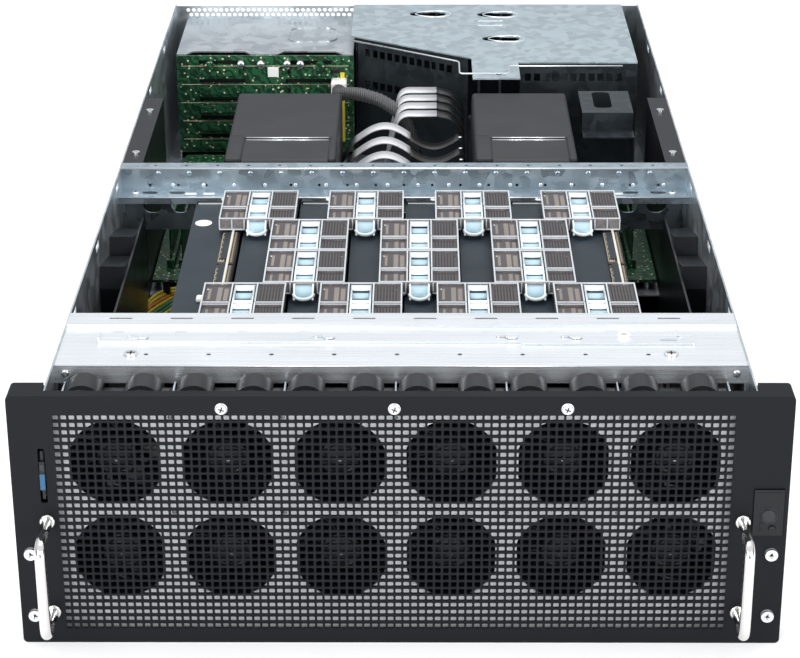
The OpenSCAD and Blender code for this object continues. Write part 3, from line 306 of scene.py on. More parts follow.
COVER_SHEET = Finish("cover_sheet", (0.4, 0.47, 0.51), 0.42, 0.7, Grain.SPANGLED, 130, 0.00001, 0.05)
PALE_BLUE_SHEET = Finish("pale_blue_sheet", (0.66, 0.74, 0.82), 0.38, 0.6, Grain.SPANGLED, 100, 0.00001, 0.07)
DARK_SHEET = Finish("dark_sheet", (0.03, 0.038, 0.045), 0.4, 0.6, Grain.SPANGLED, 120, 0.00001, 0.1)
POLISHED = Finish("polished_steel", (0.7, 0.69, 0.68), 0.14, 1.0, Grain.BRUSHED, 300, 0.000004, 0.04)
ZINC = Finish("zinc", (0.74, 0.75, 0.76), 0.3, 1.0, Grain.BRUSHED, 900, 0.00001, 0.06)
# Near-black for the cross recesses of screws, for holes and for slots: painted shade where they look dark.
RECESS_SHADE = Finish("recess", (0.012, 0.012, 0.014), 0.6, 0.0, Grain.SMOOTH, sheen=0.2)
SLATE = Finish("card_slate", (0.0095, 0.019, 0.028), 0.42, 0.0, Grain.MOULDED, 1100, 0.00001, 0.1, sheen=0.3)
BOARD = BoardFinish("board_green", (0.008, 0.055, 0.022), 0.38)
# Near-black board: painted shade for boards that sit in deep shade.
BOARD_IN_SHADE = BoardFinish("board_painted_shade", (0.018, 0.015, 0.016), 0.34, pads=(0.13, 0.115, 0.1))
# Pale opaque finish for the edges of the clear tray: painted highlight.
CLEAR_EDGE_HIGHLIGHT = Finish("clear_edge_highlight", (0.5, 0.53, 0.56), 0.16, 0.0, Grain.SMOOTH, coat=0.3)
CLEAR_WALL = ClearFinish("clear_wall", (0.62, 0.58, 0.58), 0.12, clarity=0.8)
CLEAR_BLUE = ClearFinish("clear_blue", (0.5, 0.7, 0.8), 0.1, clarity=0.35)
# Paler, less clear copy of the blue loop plastic: painted highlight.
CLEAR_HIGHLIGHT = ClearFinish("clear_highlight", (0.85, 0.93, 0.98), 0.14, clarity=0.2)
WHITE = Finish("white_plastic", (0.8, 0.8, 0.78), 0.45, 0.0, Grain.MOULDED, 1200, 0.00002, 0.05)
BLANK_LABEL = Finish("blank_label", (0.19, 0.165, 0.15), 0.55, 0.0, Grain.BRUSHED, 1500, 0.00001, 0.3)
CELL_BROWN = Finish("cell_brown", (0.052, 0.044, 0.046), 0.4, 0.0, Grain.MOULDED, 1400, 0.00002, 0.2)
GOLD = Finish("contact_gold", (0.42, 0.36, 0.26), 0.35, 0.6, Grain.BRUSHED, 600, 0.00001, 0.1)
UMBER = Finish("connector_umber", (0.035, 0.025, 0.02), 0.42, 0.0, Grain.MOULDED, 1100, 0.00002, 0.2)
CREAM = Finish("board_edge", (0.62, 0.57, 0.5), 0.5, 0.0, Grain.MOULDED, 1400, 0.00002, 0.12)
SIGNAL_BLUE = Finish("signal_blue", (0.012, 0.075, 0.16), 0.35, 0.0, Grain.MOULDED, 1100, 0.00002, 0.1)
SOFT_YELLOW = Finish("wire_yellow", (0.62, 0.5, 0.05), 0.42, 0.0, Grain.MOULDED, 900, 0.00002, 0.12)
WIRE_ORANGE = Finish("wire_orange", (0.55, 0.2, 0.05), 0.42, 0.0, Grain.MOULDED, 900, 0.00002, 0.12)
WIRE_GREEN = Finish("wire_green", (0.06, 0.2, 0.1), 0.42, 0.0, Grain.MOULDED, 900, 0.00002, 0.12)
SILVER_RIBBON = WovenFinish("ribbon_silver", (0.6, 0.6, 0.63), 0.35, 0.3, Grain.MOULDED, 260, 0.0002, 0.12,
                            rib=(0.0, 1.0, 0.0))
BLACK_RIBBON = WovenFinish("ribbon_black", (0.007, 0.007, 0.008), 0.4, 0.0, Grain.MOULDED, 260, 0.0002, 0.3,
                           rib=(0.0, 1.0, 0.0))
LOOM = WovenFinish("loom_ribbed", (0.085, 0.085, 0.09), 0.42, 0.0, Grain.MOULDED, 190, 0.0012, 0.75,
                   rib=(1.0, 0.55, 0.0))


# ---------------------------------------------------------------- surfaces


class Plane(Enum):
    """Plane that an outline is drawn in; its value lists the axes across, up and through."""

    UPRIGHT = (0, 2, 1)
    LEVEL = (0, 1, 2)
    SIDE = (1, 2, 0)


def grid(rows: int, cols: int, wrap: bool = False) -> Faces:
    """Quads that join a grid of points.

    Args:
        rows: points along the first parameter.
        cols: points along the second parameter.
        wrap: whether the last column joins the first.

    Returns:
        Faces as rows of four point numbers.
    """
    r = np.arange(rows - 1)[:, None]
    c = np.arange(cols if wrap else cols - 1)[None]
    near, far = c, (c + 1) % cols
    return np.stack([r * cols + near, r * cols + far, (r + 1) * cols + far, (r + 1) * cols + near],
                    axis=-1).reshape(-1, 4)


def swept(rings: Points) -> tuple[Points, list[Faces]]:
    """Skin through closed rings, with both ends capped.

    Args:
        rings: array of rings by points by three; neighbouring rings are joined.

    Returns:
        The points and the faces, turned so that they look outwards: the skin's
        volume, summed over its quads as a fan of tetrahedra, decides the turn.
    """
    count, sides = rings.shape[:2]
    points = rings.reshape(-1, 3)
    skin = grid(count, sides, wrap=True)
    caps = [np.arange(sides)[None, ::-1], (np.arange(sides) + (count - 1) * sides)[None]]
    centre = points.mean(0)
    a, b, c, d = (points[skin[:, k]] - centre for k in range(4))
    volume = np.einsum("ij,ij->", np.cross(a, b), c) + np.einsum("ij,ij->", np.cross(a, c), d)
    faces = [skin, *caps]
    if volume < 0:
        faces = [f[:, ::-1] for f in faces]
    return points, faces


def _box_template() -> tuple[Points, Points, list[Faces]]:
    """Unit box with its edges cut off: corner signs, the axis kept at full reach, and faces."""
    signs = np.array([[i, j, k] for i in (-1, 1) for j in (-1, 1) for k in (-1, 1)], float)
    corner = np.repeat(signs, 3, axis=0)
    full = np.tile(np.eye(3), (8, 1))
    point = corner * (0.8 + 0.2 * full)
    number = {tuple(s): i for i, s in enumerate(signs)}
    quads, tris = [], [[3 * i, 3 * i + 1, 3 * i + 2] for i in range(8)]
    for axis in range(3):
        u, v = (axis + 1) % 3, (axis + 2) % 3
        for side in (-1, 1):
            ring = []
            for p, q in ((-1, -1), (1, -1), (1, 1), (-1, 1)):
                s = [0, 0, 0]
                s[axis], s[u], s[v] = side, p, q
                ring.append(3 * number[tuple(s)] + axis)
            quads.append(ring)
        for p in (-1, 1):
            for q in (-1, 1):
                ends = []
                for side in (-1, 1):
                    s = [0, 0, 0]
                    s[axis], s[u], s[v] = side, p, q
                    ends.append(number[tuple(s)])
                quads.append([3 * ends[0] + u, 3 * ends[1] + u, 3 * ends[1] + v, 3 * ends[0] + v])
    turned = []
    for faces in (np.array(quads), np.array(tris)):
        a, b, c = (point[faces[:, k]] for k in range(3))
        inward = np.einsum("ij,ij->i", np.cross(b - a, c - a), point[faces].mean(1)) < 0
        turned.append(np.where(inward[:, None], faces[:, ::-1], faces))
    return corner, full, turned


BOX_CORNER, BOX_FULL, BOX_FACES = _box_template()


def soft_box(x: Sequence[float], y: Sequence[float], z: Sequence[float],
             edge: float = 0.4) -> tuple[Points, list[Faces]]:
    """Box between three pairs of limits with all its edges cut back.

    Each corner gives three points, one for each face it belongs to: that axis keeps
    its full reach and the other two are drawn in by the edge.

    Args:
        x: limits across.
        y: limits in depth behind the panel.
        z: limits in height.
        edge: width of the cut edge.

    Returns:
        The points and the faces.
    """
    low = np.array([x[0], y[0] + FRONT, z[0]], float)
    high = np.array([x[1], y[1] + FRONT, z[1]], float)
    half = (high - low) / 2
    inset = min(edge, float(half.min()) * 0.6)
    return (low + high) / 2 + BOX_CORNER * (half - inset * (1 - BOX_FULL)), list(BOX_FACES)


def tube(path: Points, radius: float | Points, sides: int = 12,
         across: Sequence[float] = (0.0, 0.0, 1.0)) -> tuple[Points, list[Faces]]:
    """Round bar along a path.

    At each point of the path the heading is the mean of the steps before and after it,
    and a circle is drawn in the plane square to the heading.

    Args:
        path: points of the middle line.
        radius: one radius, or one for each point.
        sides: sides of the circle.
        across: a direction that the path never follows, to hold the circle's turn.

    Returns:
        The points and the faces.
    """
    path = np.asarray(path, float)
    heading = np.gradient(path, axis=0)
    heading /= np.linalg.norm(heading, axis=1, keepdims=True)
    u = np.cross(heading, np.asarray(across, float))
    u /= np.linalg.norm(u, axis=1, keepdims=True)
    v = np.cross(heading, u)
    turn = np.linspace(0, 2 * np.pi, sides, endpoint=False)
    reach = np.broadcast_to(np.asarray(radius, float), (len(path),))[:, None, None]
    ring = np.cos(turn)[None, :, None] * u[:, None] + np.sin(turn)[None, :, None] * v[:, None]
    return swept(path[:, None] + reach * ring)


def turned(profile: Sequence[Sequence[float]], centre: Sequence[float], axis: int, sign: float = 1.0,
           sides: int = 20) -> tuple[Points, list[Faces]]:
    """Turned part: a profile of (reach, radius) pairs carried round an axis.

    A point is the centre, plus reach along the axis, plus radius times the cosine and
    the sine of the turn along the two other axes.

    Args:
        profile: reach along the axis and radius there, from one end to the other.
        centre: where reach is nought, in model millimetres.
        axis: 0, 1 or 2 for X, Y or Z.
        sign: direction in which reach grows.
        sides: steps of the turn.

    Returns:
        The points and the faces.
    """
    reach, radius = np.asarray(profile, float).T
    turn = np.linspace(0, 2 * np.pi, sides, endpoint=False)
    rings = np.zeros((len(reach), sides, 3))
    rings[..., axis] = sign * reach[:, None]
    rings[..., (axis + 1) % 3] = radius[:, None] * np.cos(turn)
    rings[..., (axis + 2) % 3] = radius[:, None] * np.sin(turn)
    return swept(rings + np.asarray(centre, float))


def soft_loop(x0: float, y0: float, x1: float, y1: float, r: float, steps: int = 5) -> Points:
    """Rectangle with round corners, anticlockwise: each corner is a quarter turn of steps points."""
    turn = np.linspace(0, np.pi / 2, steps)
    arc = np.stack([np.cos(turn), np.sin(turn)], axis=1) * r
    quarter = np.array([[0, -1], [1, 0]])
    centres = ((x1 - r, y1 - r), (x0 + r, y1 - r), (x0 + r, y0 + r), (x1 - r, y0 + r))
    parts, now = [], arc
    for centre in centres:
        parts.append(now + centre)
        now = now @ quarter.T
    return np.concatenate(parts)


def circle(x: float, y: float, d: float, steps: int = 20) -> Points:
    """Circle of that diameter, anticlockwise."""
    turn = np.linspace(0, 2 * np.pi, steps, endpoint=False)
    return np.stack([x + d / 2 * np.cos(turn), y + d / 2 * np.sin(turn)], axis=1)


def rectangle(x0: float, y0: float, x1: float, y1: float) -> Points:
    """Plain rectangle, anticlockwise."""
    return np.array([(x0, y0), (x1, y0), (x1, y1), (x0, y1)], float)


def sheet(plane: Plane, outline: Points, holes: Sequence[Points], start: float, end: float,
          open_loops: Sequence[Points] = ()) -> tuple[Points, list[Faces]]:
    """Flat plate with holes.

    The outline and holes are triangulated once; a triangle stays when a ray from its
    middle crosses the loops an odd number of times. Both faces use these triangles and
    a wall stands along every loop.

    Args:
        plane: plane of the outline.
        outline: outer loop.
        holes: inner loops.
        start: lower side of the plate along the third axis.
        end: upper side.
        open_loops: inner loops that get no wall, because another surface joins there.

    Returns:
        The points and the faces.
    """
    def signed(loop: Points) -> float:
        nxt = np.roll(loop, -1, axis=0)
        return float(np.sum(loop[:, 0] * nxt[:, 1] - nxt[:, 0] * loop[:, 1]))

    loops = [outline if signed(outline) > 0 else outline[::-1]]
    loops += [h[::-1] if signed(h) > 0 else h for h in (*holes, *open_loops)]
    flat = np.concatenate(loops)
    sizes = [len(loop) for loop in loops]
    starts = np.concatenate([[0], np.cumsum(sizes)[:-1]])
    rings = [s + np.arange(n) for s, n in zip(starts, sizes)]
    edges = [tuple(e) for ring in rings for e in np.stack([ring, np.roll(ring, -1)], axis=1).tolist()]
    made, _, faces, origin, *_ = delaunay_2d_cdt([tuple(p) for p in flat.tolist()], edges, [], 0, 1e-6)
    made = flat[np.array([o[0] for o in origin])]
    number = np.empty(len(flat), int)
    for new, old in enumerate(origin):
        number[old] = new
    tris = np.array([f for f in faces if len(f) == 3])
    middle = made[tris].mean(1)
    a = np.concatenate([loop for loop in loops])
    b = np.concatenate([np.roll(loop, -1, axis=0) for loop in loops])
    my = middle[:, 1][:, None]
    spans = (a[None, :, 1] > my) != (b[None, :, 1] > my)
    step = np.where(np.abs(b[:, 1] - a[:, 1]) < 1e-12, 1.0, b[:, 1] - a[:, 1])
    cross_x = a[:, 0] + (my - a[:, 1]) * (b[:, 0] - a[:, 0]) / step
    inside = (spans & (cross_x > middle[:, 0][:, None])).sum(1) % 2 == 1
    tris = tris[inside]
    p, q, r = (made[tris[:, k]] for k in range(3))
    area = (q[:, 0] - p[:, 0]) * (r[:, 1] - p[:, 1]) - (r[:, 0] - p[:, 0]) * (q[:, 1] - p[:, 1])
    tris = np.where((area < 0)[:, None], tris[:, ::-1], tris)
    across, up, through = plane.value
    offset = FRONT if through == 1 else 0.0

    def lift(flat_points: Points, level: float) -> Points:
        out = np.empty((len(flat_points), 3))
        out[:, across] = flat_points[:, 0] + (FRONT if across == 1 else 0.0)
        out[:, up] = flat_points[:, 1] + (FRONT if up == 1 else 0.0)
        out[:, through] = level + offset
        return out

    count = len(made)
    points = np.concatenate([lift(made, start), lift(made, end)])
    walls = []
    for ring in rings[:len(loops) - len(open_loops)]:
        ring = number[ring]
        nxt = np.roll(ring, -1)
        walls.append(np.stack([ring, nxt, nxt + count, ring + count], axis=1))
    result = [tris[:, ::-1], tris + count, np.concatenate(walls)]
    if plane is Plane.UPRIGHT:
        result = [f[:, ::-1] for f in result]
    return points, result


def arc_path(corners: Sequence[Sequence[float]], bend: float, steps: int = 7) -> Points:
    """Path of straight runs joined by round bends.

    Each inner corner is replaced by a curve that leaves one run a bend's length before
    the corner and joins the next a bend's length after it, as a quadratic blend.

    Args:
        corners: ends and corners of the path.
        bend: length of the blend on each run.
        steps: points along each blend.

    Returns:
        The points of the path.
    """
    corners = np.asarray(corners, float)
    parts = [corners[:1]]
    t = np.linspace(0, 1, steps)[:, None]
    for before, here, after in zip(corners[:-2], corners[1:-1], corners[2:]):
        a = here + (before - here) / np.linalg.norm(before - here) * bend
        b = here + (after - here) / np.linalg.norm(after - here) * bend
        parts.append((1 - t) ** 2 * a + 2 * t * (1 - t) * here + t ** 2 * b)
    parts.append(corners[-1:])
    return np.concatenate(parts)


def strap(path: Points, width: float, thickness: float, axis: int = 1) -> tuple[Points, list[Faces]]:
    """Flat strap along a path that lies square to one axis.

    The section is a flat loop of eight points with its corners cut: width runs along
    the axis and thickness square to the heading.

    Args:
        path: points of the middle line.
        width: size along the axis.
        thickness: size square to the path.
        axis: axis that the width follows.

    Returns:
        The points and the faces.
    """
    path = np.asarray(path, float)
    heading = np.gradient(path, axis=0)
    heading /= np.linalg.norm(heading, axis=1, keepdims=True)
    wide = np.zeros(3)
    wide[axis] = 1.0
    thick = np.cross(heading, wide)
    w, t, c = width / 2, thickness / 2, thickness * 0.3
    section = np.array([(w, -t + c), (w, t - c), (w - c, t), (-w + c, t), (-w, t - c), (-w, -t + c),
                        (-w + c, -t), (w - c, -t)])
    ring = section[None, :, :1] * wide + section[None, :, 1:] * thick[:, None]
    return swept(path[:, None] + ring)


class Shell:
    """Faces gathered for one piece, with the finish and the shading of each."""

    def __init__(self) -> None:
        """Starts empty."""
        self.points: list[Points] = []
        self.faces: list[tuple[Faces, int, bool]] = []
        self.total = 0

    def add(self, part: tuple[Points, list[Faces]], finish: int = 0, smooth: bool = False,
            copies: Any = None) -> "Shell":
        """Adds a part, once or at each of several offsets.

        Args:
            part: points and faces.
            finish: number of the finish in the piece's list.
            smooth: whether the faces are shaded smooth.
            copies: offsets in millimetres, one row for each copy.

        Returns:
            The shell itself.
        """
        points, faces = part
        if copies is not None:
            offsets = np.asarray(copies, float).reshape(-1, 3)
            shift = (len(points) * np.arange(len(offsets)))[:, None, None]
            faces = [(f[None] + shift).reshape(-1, f.shape[1]) for f in faces]
            points = (points[None] + offsets[:, None]).reshape(-1, 3)
        self.faces += [(f + self.total, finish, smooth) for f in faces]
        self.points.append(points)
        self.total += len(points)
        return self

    def build(self, name: str, finishes: Sequence[Finish], body: str = ROOT, nodes: Sequence[str] = (),
              weld: bool = False) -> bpy.types.Object:
        """Makes the object and hangs it on its body.

        Args:
            name: name of the piece.
            finishes: finishes that the faces' numbers point to.
            body: body that it rides on.
            nodes: solids that it stands for.
            weld: whether points that meet are joined.

        Returns:
            The new object.
        """
        mesh = bpy.data.meshes.new(name)
        points = np.concatenate(self.points) * MM
        corners = np.concatenate([f.ravel() for f, _, _ in self.faces]).astype(np.int32)
        sizes = np.concatenate([np.full(len(f), f.shape[1]) for f, _, _ in self.faces])
        starts = np.concatenate([[0], np.cumsum(sizes)[:-1]]).astype(np.int32)
        mesh.vertices.add(len(points))
        mesh.vertices.foreach_set("co", points.astype(np.float32).ravel())
        mesh.loops.add(len(corners))
        mesh.loops.foreach_set("vertex_index", corners)
        mesh.polygons.add(len(sizes))
        mesh.polygons.foreach_set("loop_start", starts)
        mesh.polygons.foreach_set("material_index",
                                  np.concatenate([np.full(len(f), m) for f, m, _ in self.faces]).astype(np.int32))
        mesh.polygons.foreach_set("use_smooth", np.concatenate([np.full(len(f), s) for f, _, s in self.faces]))
        mesh.update(calc_edges=True)
        mesh.validate()
        if weld:
            work = bmesh.new()
            work.from_mesh(mesh)
            bmesh.ops.remove_doubles(work, verts=work.verts, dist=2e-6)
            work.to_mesh(mesh)
            work.free()
        for finish in finishes:
            mesh.materials.append(finish.paint())
        piece = bpy.data.objects.new(name, mesh)
        bpy.context.scene.collection.objects.link(piece)
        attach(piece, body)
        if nodes:
            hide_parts(*nodes)
        LOG.info("%s: %d points, %d faces on %s", name, len(mesh.vertices), len(mesh.polygons), body)
        return piece


def dress(frame: dict[str, Any], finish: Finish, *nodes: str) -> None:
    """Gives solids of the frame a finish in every slot they have."""
    for name in nodes:
        solid = frame["nodes"][name]
        if not solid.material_slots:
            solid.data.materials.append(finish.paint())
        for slot in solid.material_slots:
            slot.material = finish.paint()
        LOG.info("%s: %s", name, finish.name)


@dataclass(frozen=True)
class ScrewHead:
    """Domed screw head whose cross recess is drawn as a dark cross: painted shade."""

    d: float
    h: float
    sides: int = 18

    def put(self, shell: Shell, places: Sequence[Sequence[float]], axis: int, sign: float,
            metal: int = 0, dark: int = 1, turn: float = 0.0) -> None:
        """Adds heads at their seats.

        The dome's radius falls as the square root of one minus the square of its height.

        Args:
            shell: shell that gets the heads.
            places: seats in X, depth and Z.
            axis: axis that the heads look along.
            sign: direction along it.
            metal: number of the head's finish.
            dark: number of the finish of the cross, a dark colour painted for the shade in the recess.
            turn: turn of the cross in degrees.
        """
        lift = np.linspace(0.0, 0.94, 5)
        profile = [(0.0, self.d / 2)] + [
            (self.h * (0.35 + 0.65 * t), self.d / 2 * math.sqrt(1 - t * t)) for t in lift]
        seats = np.asarray(places, float) + (0, FRONT, 0)
        shell.add(turned(profile, (0, 0, 0), axis, sign, self.sides), metal, True, seats)
        u, v = (axis + 1) % 3, (axis + 2) % 3
        # The cross is two thin boxes in the dark finish, standing just out of the dome: painted shade in place of the
        # recess.
        for angle in (turn, turn + 90.0):
            bar = BOX_CORNER * (np.array([self.d * 0.27, self.d * 0.055, self.h * 0.2]) - 0.05 * (1 - BOX_FULL))
            c, s = math.cos(math.radians(angle)), math.sin(math.radians(angle))
            out = np.empty_like(bar)
            out[:, u] = c * bar[:, 0] - s * bar[:, 1]
            out[:, v] = s * bar[:, 0] + c * bar[:, 1]
            out[:, axis] = sign * (self.h * 0.815 + bar[:, 2])
            faces = BOX_FACES if sign > 0 else [f[:, ::-1] for f in BOX_FACES]
            shell.add((out, list(faces)), dark, False, seats)


# ---------------------------------------------------------------- studio


@dataclass
class Studio:
    """Camera, soft lights and the pale floor."""

    eye: tuple[float, float, float] = (0.01107, -1.7059, 0.7848)
    tilt: float = 23.872
    yaw: float = -0.491
    roll: float = -0.187
    lens: float = 104.59
    lamps: tuple[tuple[str, tuple, tuple, float, float], ...] = (
        ("overhead", (0.0, 0.35, 2.3), (0.0, 0.1, 0.0), 2.4, 34.0),
        ("face_left", (-1.5, -2.7, 0.9), (-0.05, -0.43, 0.1), 1.4, 66.0),
        ("face_right", (1.6, -2.5, 0.9), (0.1, -0.43, 0.1), 1.2, 46.0),
    )

    def camera(self) -> None:
        """Places the camera from its eye point, its tilt, its yaw and its roll."""
        t, y, r = (math.radians(a) for a in (self.tilt, self.yaw, self.roll))
        ahead = np.array([math.sin(y) * math.cos(t), math.cos(y) * math.cos(t), -math.sin(t)])
        right = np.array([math.cos(y), -math.sin(y), 0.0])
        up = np.cross(right, ahead)
        across = math.cos(r) * right + math.sin(r) * up
        above = -math.sin(r) * right + math.cos(r) * up
        data = bpy.data.cameras.new("camera")
        data.lens, data.sensor_width = self.lens, 36.0
        data.clip_end = 60.0
        eye = bpy.data.objects.new("camera", data)
        frame = np.eye(4)
        frame[:3, 0], frame[:3, 1], frame[:3, 2], frame[:3, 3] = across, above, -ahead, self.eye
        eye.matrix_world = Matrix(frame.tolist())
        bpy.context.scene.collection.objects.link(eye)
        bpy.context.scene.camera = eye

    def lights(self) -> None:
        """Adds the area lamps, each looking at its target."""
        for name, place, target, size, power in self.lamps:
            data = bpy.data.lights.new(name, "AREA")
            data.shape, data.size, data.energy = "SQUARE", size, power
            lamp = bpy.data.objects.new(name, data)
            aim = np.array(target, float) - place
            aim /= np.linalg.norm(aim)
            side = np.cross(aim, (0.0, 0.0, 1.0))
            side /= np.linalg.norm(side)
            frame = np.eye(4)
            frame[:3, 0], frame[:3, 1], frame[:3, 2], frame[:3, 3] = side, np.cross(side, aim), -aim, place
            lamp.matrix_world = Matrix(frame.tolist())
            bpy.context.scene.collection.objects.link(lamp)

    def sky(self) -> None:
        """Pale surround that is brightest above and behind, as a studio wall is."""
        world = bpy.data.worlds.new("studio")
        world.use_nodes = True
        tree = world.node_tree
        back = tree.nodes["Background"]
        place = tree.nodes.new("ShaderNodeTexCoord")
        split = tree.nodes.new("ShaderNodeSeparateXYZ")
        ramp = tree.nodes.new("ShaderNodeValToRGB")
        tree.links.new(place.outputs["Generated"], split.inputs["Vector"])
        tree.links.new(split.outputs["Z"], ramp.inputs["Fac"])
        tree.links.new(ramp.outputs["Color"], back.inputs["Color"])
        stops = ((0.0, (0.42, 0.45, 0.49)), (0.2, (0.24, 0.27, 0.3)), (0.29, (0.34, 0.39, 0.43)),
                 (0.345, (0.8, 0.85, 0.9)), (0.5, (1.0, 1.0, 1.0)))
        elements = ramp.color_ramp.elements
        while len(elements) < len(stops):
            elements.new(0.5)
        for element, (position, colour) in zip(elements, stops):
            element.position, element.color = position, (*colour, 1.0)
        back.inputs["Strength"].default_value = 1.0
        bpy.context.scene.world = world

    def floor(self) -> None:
        """Adds the floor, which isn't part of the object."""
        size = 14.0
        mesh = bpy.data.meshes.new("floor")
        mesh.from_pydata([(-size, -size, 0), (size, -size, 0), (size, size, 0), (-size, size, 0)], [], [(0, 1, 2, 3)])
        mesh.materials.append(Finish("floor_white", (0.93, 0.93, 0.935), 0.8, 0.0, Grain.SMOOTH,
                                     variation=0.005).paint())
        ground = bpy.data.objects.new("floor", mesh)
        bpy.context.scene.collection.objects.link(ground)

    def build(self) -> None:
        """Builds the whole studio."""
        self.camera()
        self.lights()
        self.sky()
        self.floor()
        bpy.context.scene.view_settings.view_transform = "Standard"


# ---------------------------------------------------------------- front panel


@dataclass
class FrontPanel:
    """Perforated front panel with its screws, handles, buttons and tag."""

    width: float = 482.6
    height: float = 174.3
    sheet_t: float = 2.0
    corner: float = 3.0
    cols: int = 84
    rows: int = 30
    pitch: tuple[float, float] = (5.0, 5.08)
    hole: float = 3.65
    first: tuple[float, float] = (-211.475, 12.125)
    shift: float = -3.5
    handle_span: tuple[float, float] = (23.1, 88.1)
    handle_x: tuple[float, float] = (-220.5, 213.5)
    rack_x: float = 232.55
    rack_z: tuple[float, float] = (20.5, 64.95)

    def perforation(self) -> tuple[Points, list[Faces]]:
        """Grille of square holes with cut corners.

        Cell corners form one grid on each face; every hole is a loop of eight points
        round its middle, joined to the four corners of its cell by quads and triangles,
        and its wall joins the loops of the two faces.

        Returns:
            The points and the faces.
        """
        px, pz = self.pitch
        h, c = self.hole / 2, self.hole * 0.13
        ring = np.array([(h, -h + c), (h, h - c), (h - c, h), (-h + c, h), (-h, h - c), (-h, -h + c),
                         (-h + c, -h), (h - c, -h)])
        x = self.first[0] + px * np.arange(self.cols)
        z = self.first[1] + pz * np.arange(self.rows)
        middle = np.stack(np.meshgrid(x, z), axis=-1)
        gx = self.first[0] + px * (np.arange(self.cols + 1) - 0.5)
        gz = self.first[1] + pz * (np.arange(self.rows + 1) - 0.5)
        corner = np.stack(np.meshgrid(gx, gz), axis=-1).reshape(-1, 2)
        loops = (middle[:, :, None] + ring).reshape(-1, 2)
        flat = np.concatenate([corner, loops])
        count = len(flat)
        points = np.empty((2 * count, 3))
        points[:, (0, 2)] = np.tile(flat, (2, 1))
        points[:count, 1], points[count:, 1] = FRONT, FRONT + self.sheet_t
        r, k = np.divmod(np.arange(self.rows * self.cols), self.cols)
        low_left = r * (self.cols + 1) + k
        corners = np.stack([low_left + 1, low_left + self.cols + 2, low_left + self.cols + 1, low_left], axis=1)
        base = len(corner) + 8 * np.arange(self.rows * self.cols)
        quads, tris, walls = [], [], []
        for side in range(4):
            a, b = base + 2 * side, base + 2 * side + 1
            c2 = base + (2 * side + 2) % 8
            quads.append(np.stack([corners[:, side], corners[:, (side + 1) % 4], b, a], axis=1))
            tris.append(np.stack([corners[:, (side + 1) % 4], c2, b], axis=1))
            walls.append(np.stack([a, b, b + count, a + count], axis=1))
            walls.append(np.stack([b, c2, c2 + count, b + count], axis=1))
        quads, tris, walls = (np.concatenate(f) for f in (quads, tris, walls))
        return points, [quads, tris, quads[:, ::-1] + count, tris[:, ::-1] + count, walls]

    def border(self) -> Points:
        """Loop round the grille through every cell corner on its edge."""
        px, pz = self.pitch
        gx = self.first[0] + px * (np.arange(self.cols + 1) - 0.5)
        gz = self.first[1] + pz * (np.arange(self.rows + 1) - 0.5)
        low = np.stack([gx[:-1], np.full(self.cols, gz[0])], axis=1)
        right = np.stack([np.full(self.rows, gx[-1]), gz[:-1]], axis=1)
        high = np.stack([gx[:0:-1], np.full(self.cols, gz[-1])], axis=1)
        left = np.stack([np.full(self.rows, gx[0]), gz[:0:-1]], axis=1)
        return np.concatenate([low, right, high, left])

    def plate(self) -> None:
        """Builds the panel sheet with the grille in it."""
        shell = Shell()
        outline = soft_loop(-self.width / 2, 0, self.width / 2, self.height, self.corner)
        slot = soft_loop(-223.8, 100.7, -219.4, 138.6, 1.2, 4)
        window = rectangle(219.35, 78.45, 238.55, 111.05)
        shell.add(sheet(Plane.UPRIGHT, outline, [slot, window], 0, self.sheet_t, [self.border()]))
        points, faces = self.perforation()
        shell.add((points, faces))
        shell.build("front_grille_panel", [POWDER_BLACK], nodes=("front_panel", "grille_cross_bars"), weld=True)

    def screws(self) -> None:
        """Builds the heads of the panel screws and of the rack screws with their washers."""
        shell = Shell()
        tops = [(self.shift + 105.9 * i, 0.3, 165.7) for i in (-1, 0, 1)]
        racks = [(s * self.rack_x, 0.9, z) for s in (-1, 1) for z in self.rack_z]
        ScrewHead(7.0, 2.2).put(shell, tops, 1, -1, turn=20.0)
        ScrewHead(8.6, 2.6).put(shell, racks, 1, -1, turn=35.0)
        washer = [(-0.4, 3.9), (0.35, 3.9), (0.5, 3.7), (0.55, 3.0)]
        shell.add(turned(washer, (0, 0, 0), 1, -1, 24), 2, True, np.array(tops) + (0, FRONT, 0))
        wide = [(-1.0, 4.9), (0.55, 4.9), (0.8, 4.6), (0.85, 3.4)]
        shell.add(turned(wide, (0, 0, 0), 1, -1, 26), 2, True, np.array(racks) + (0, FRONT, 0))
        shell.build("panel_screw_heads", [ZINC, RECESS_SHADE, BRIGHT_SHEET])

    def handles(self) -> None:
        """Builds both handles as a bent rod on two turned feet."""
        low, high = self.handle_span
        for name, x in zip(("handle_left", "handle_right"), self.handle_x):
            reach = FRONT - 34.5
            rod = arc_path([(x, FRONT + 0.2, low), (x, reach, low), (x, reach, high), (x, FRONT + 0.2, high)], 9.5, 9)
            shell = Shell().add(tube(rod, 3.5, 24, across=(1.0, 0.0, 0.0)), 0, True)
            foot = [(0.0, 5.0), (1.6, 5.0), (2.3, 4.4), (2.6, 3.5)]
            shell.add(turned(foot, (x, FRONT, 0), 1, -1, 28), 0, True, [(0, 0, low), (0, 0, high)])
            shell.build(name + "_rod", [POLISHED], nodes=(name,))

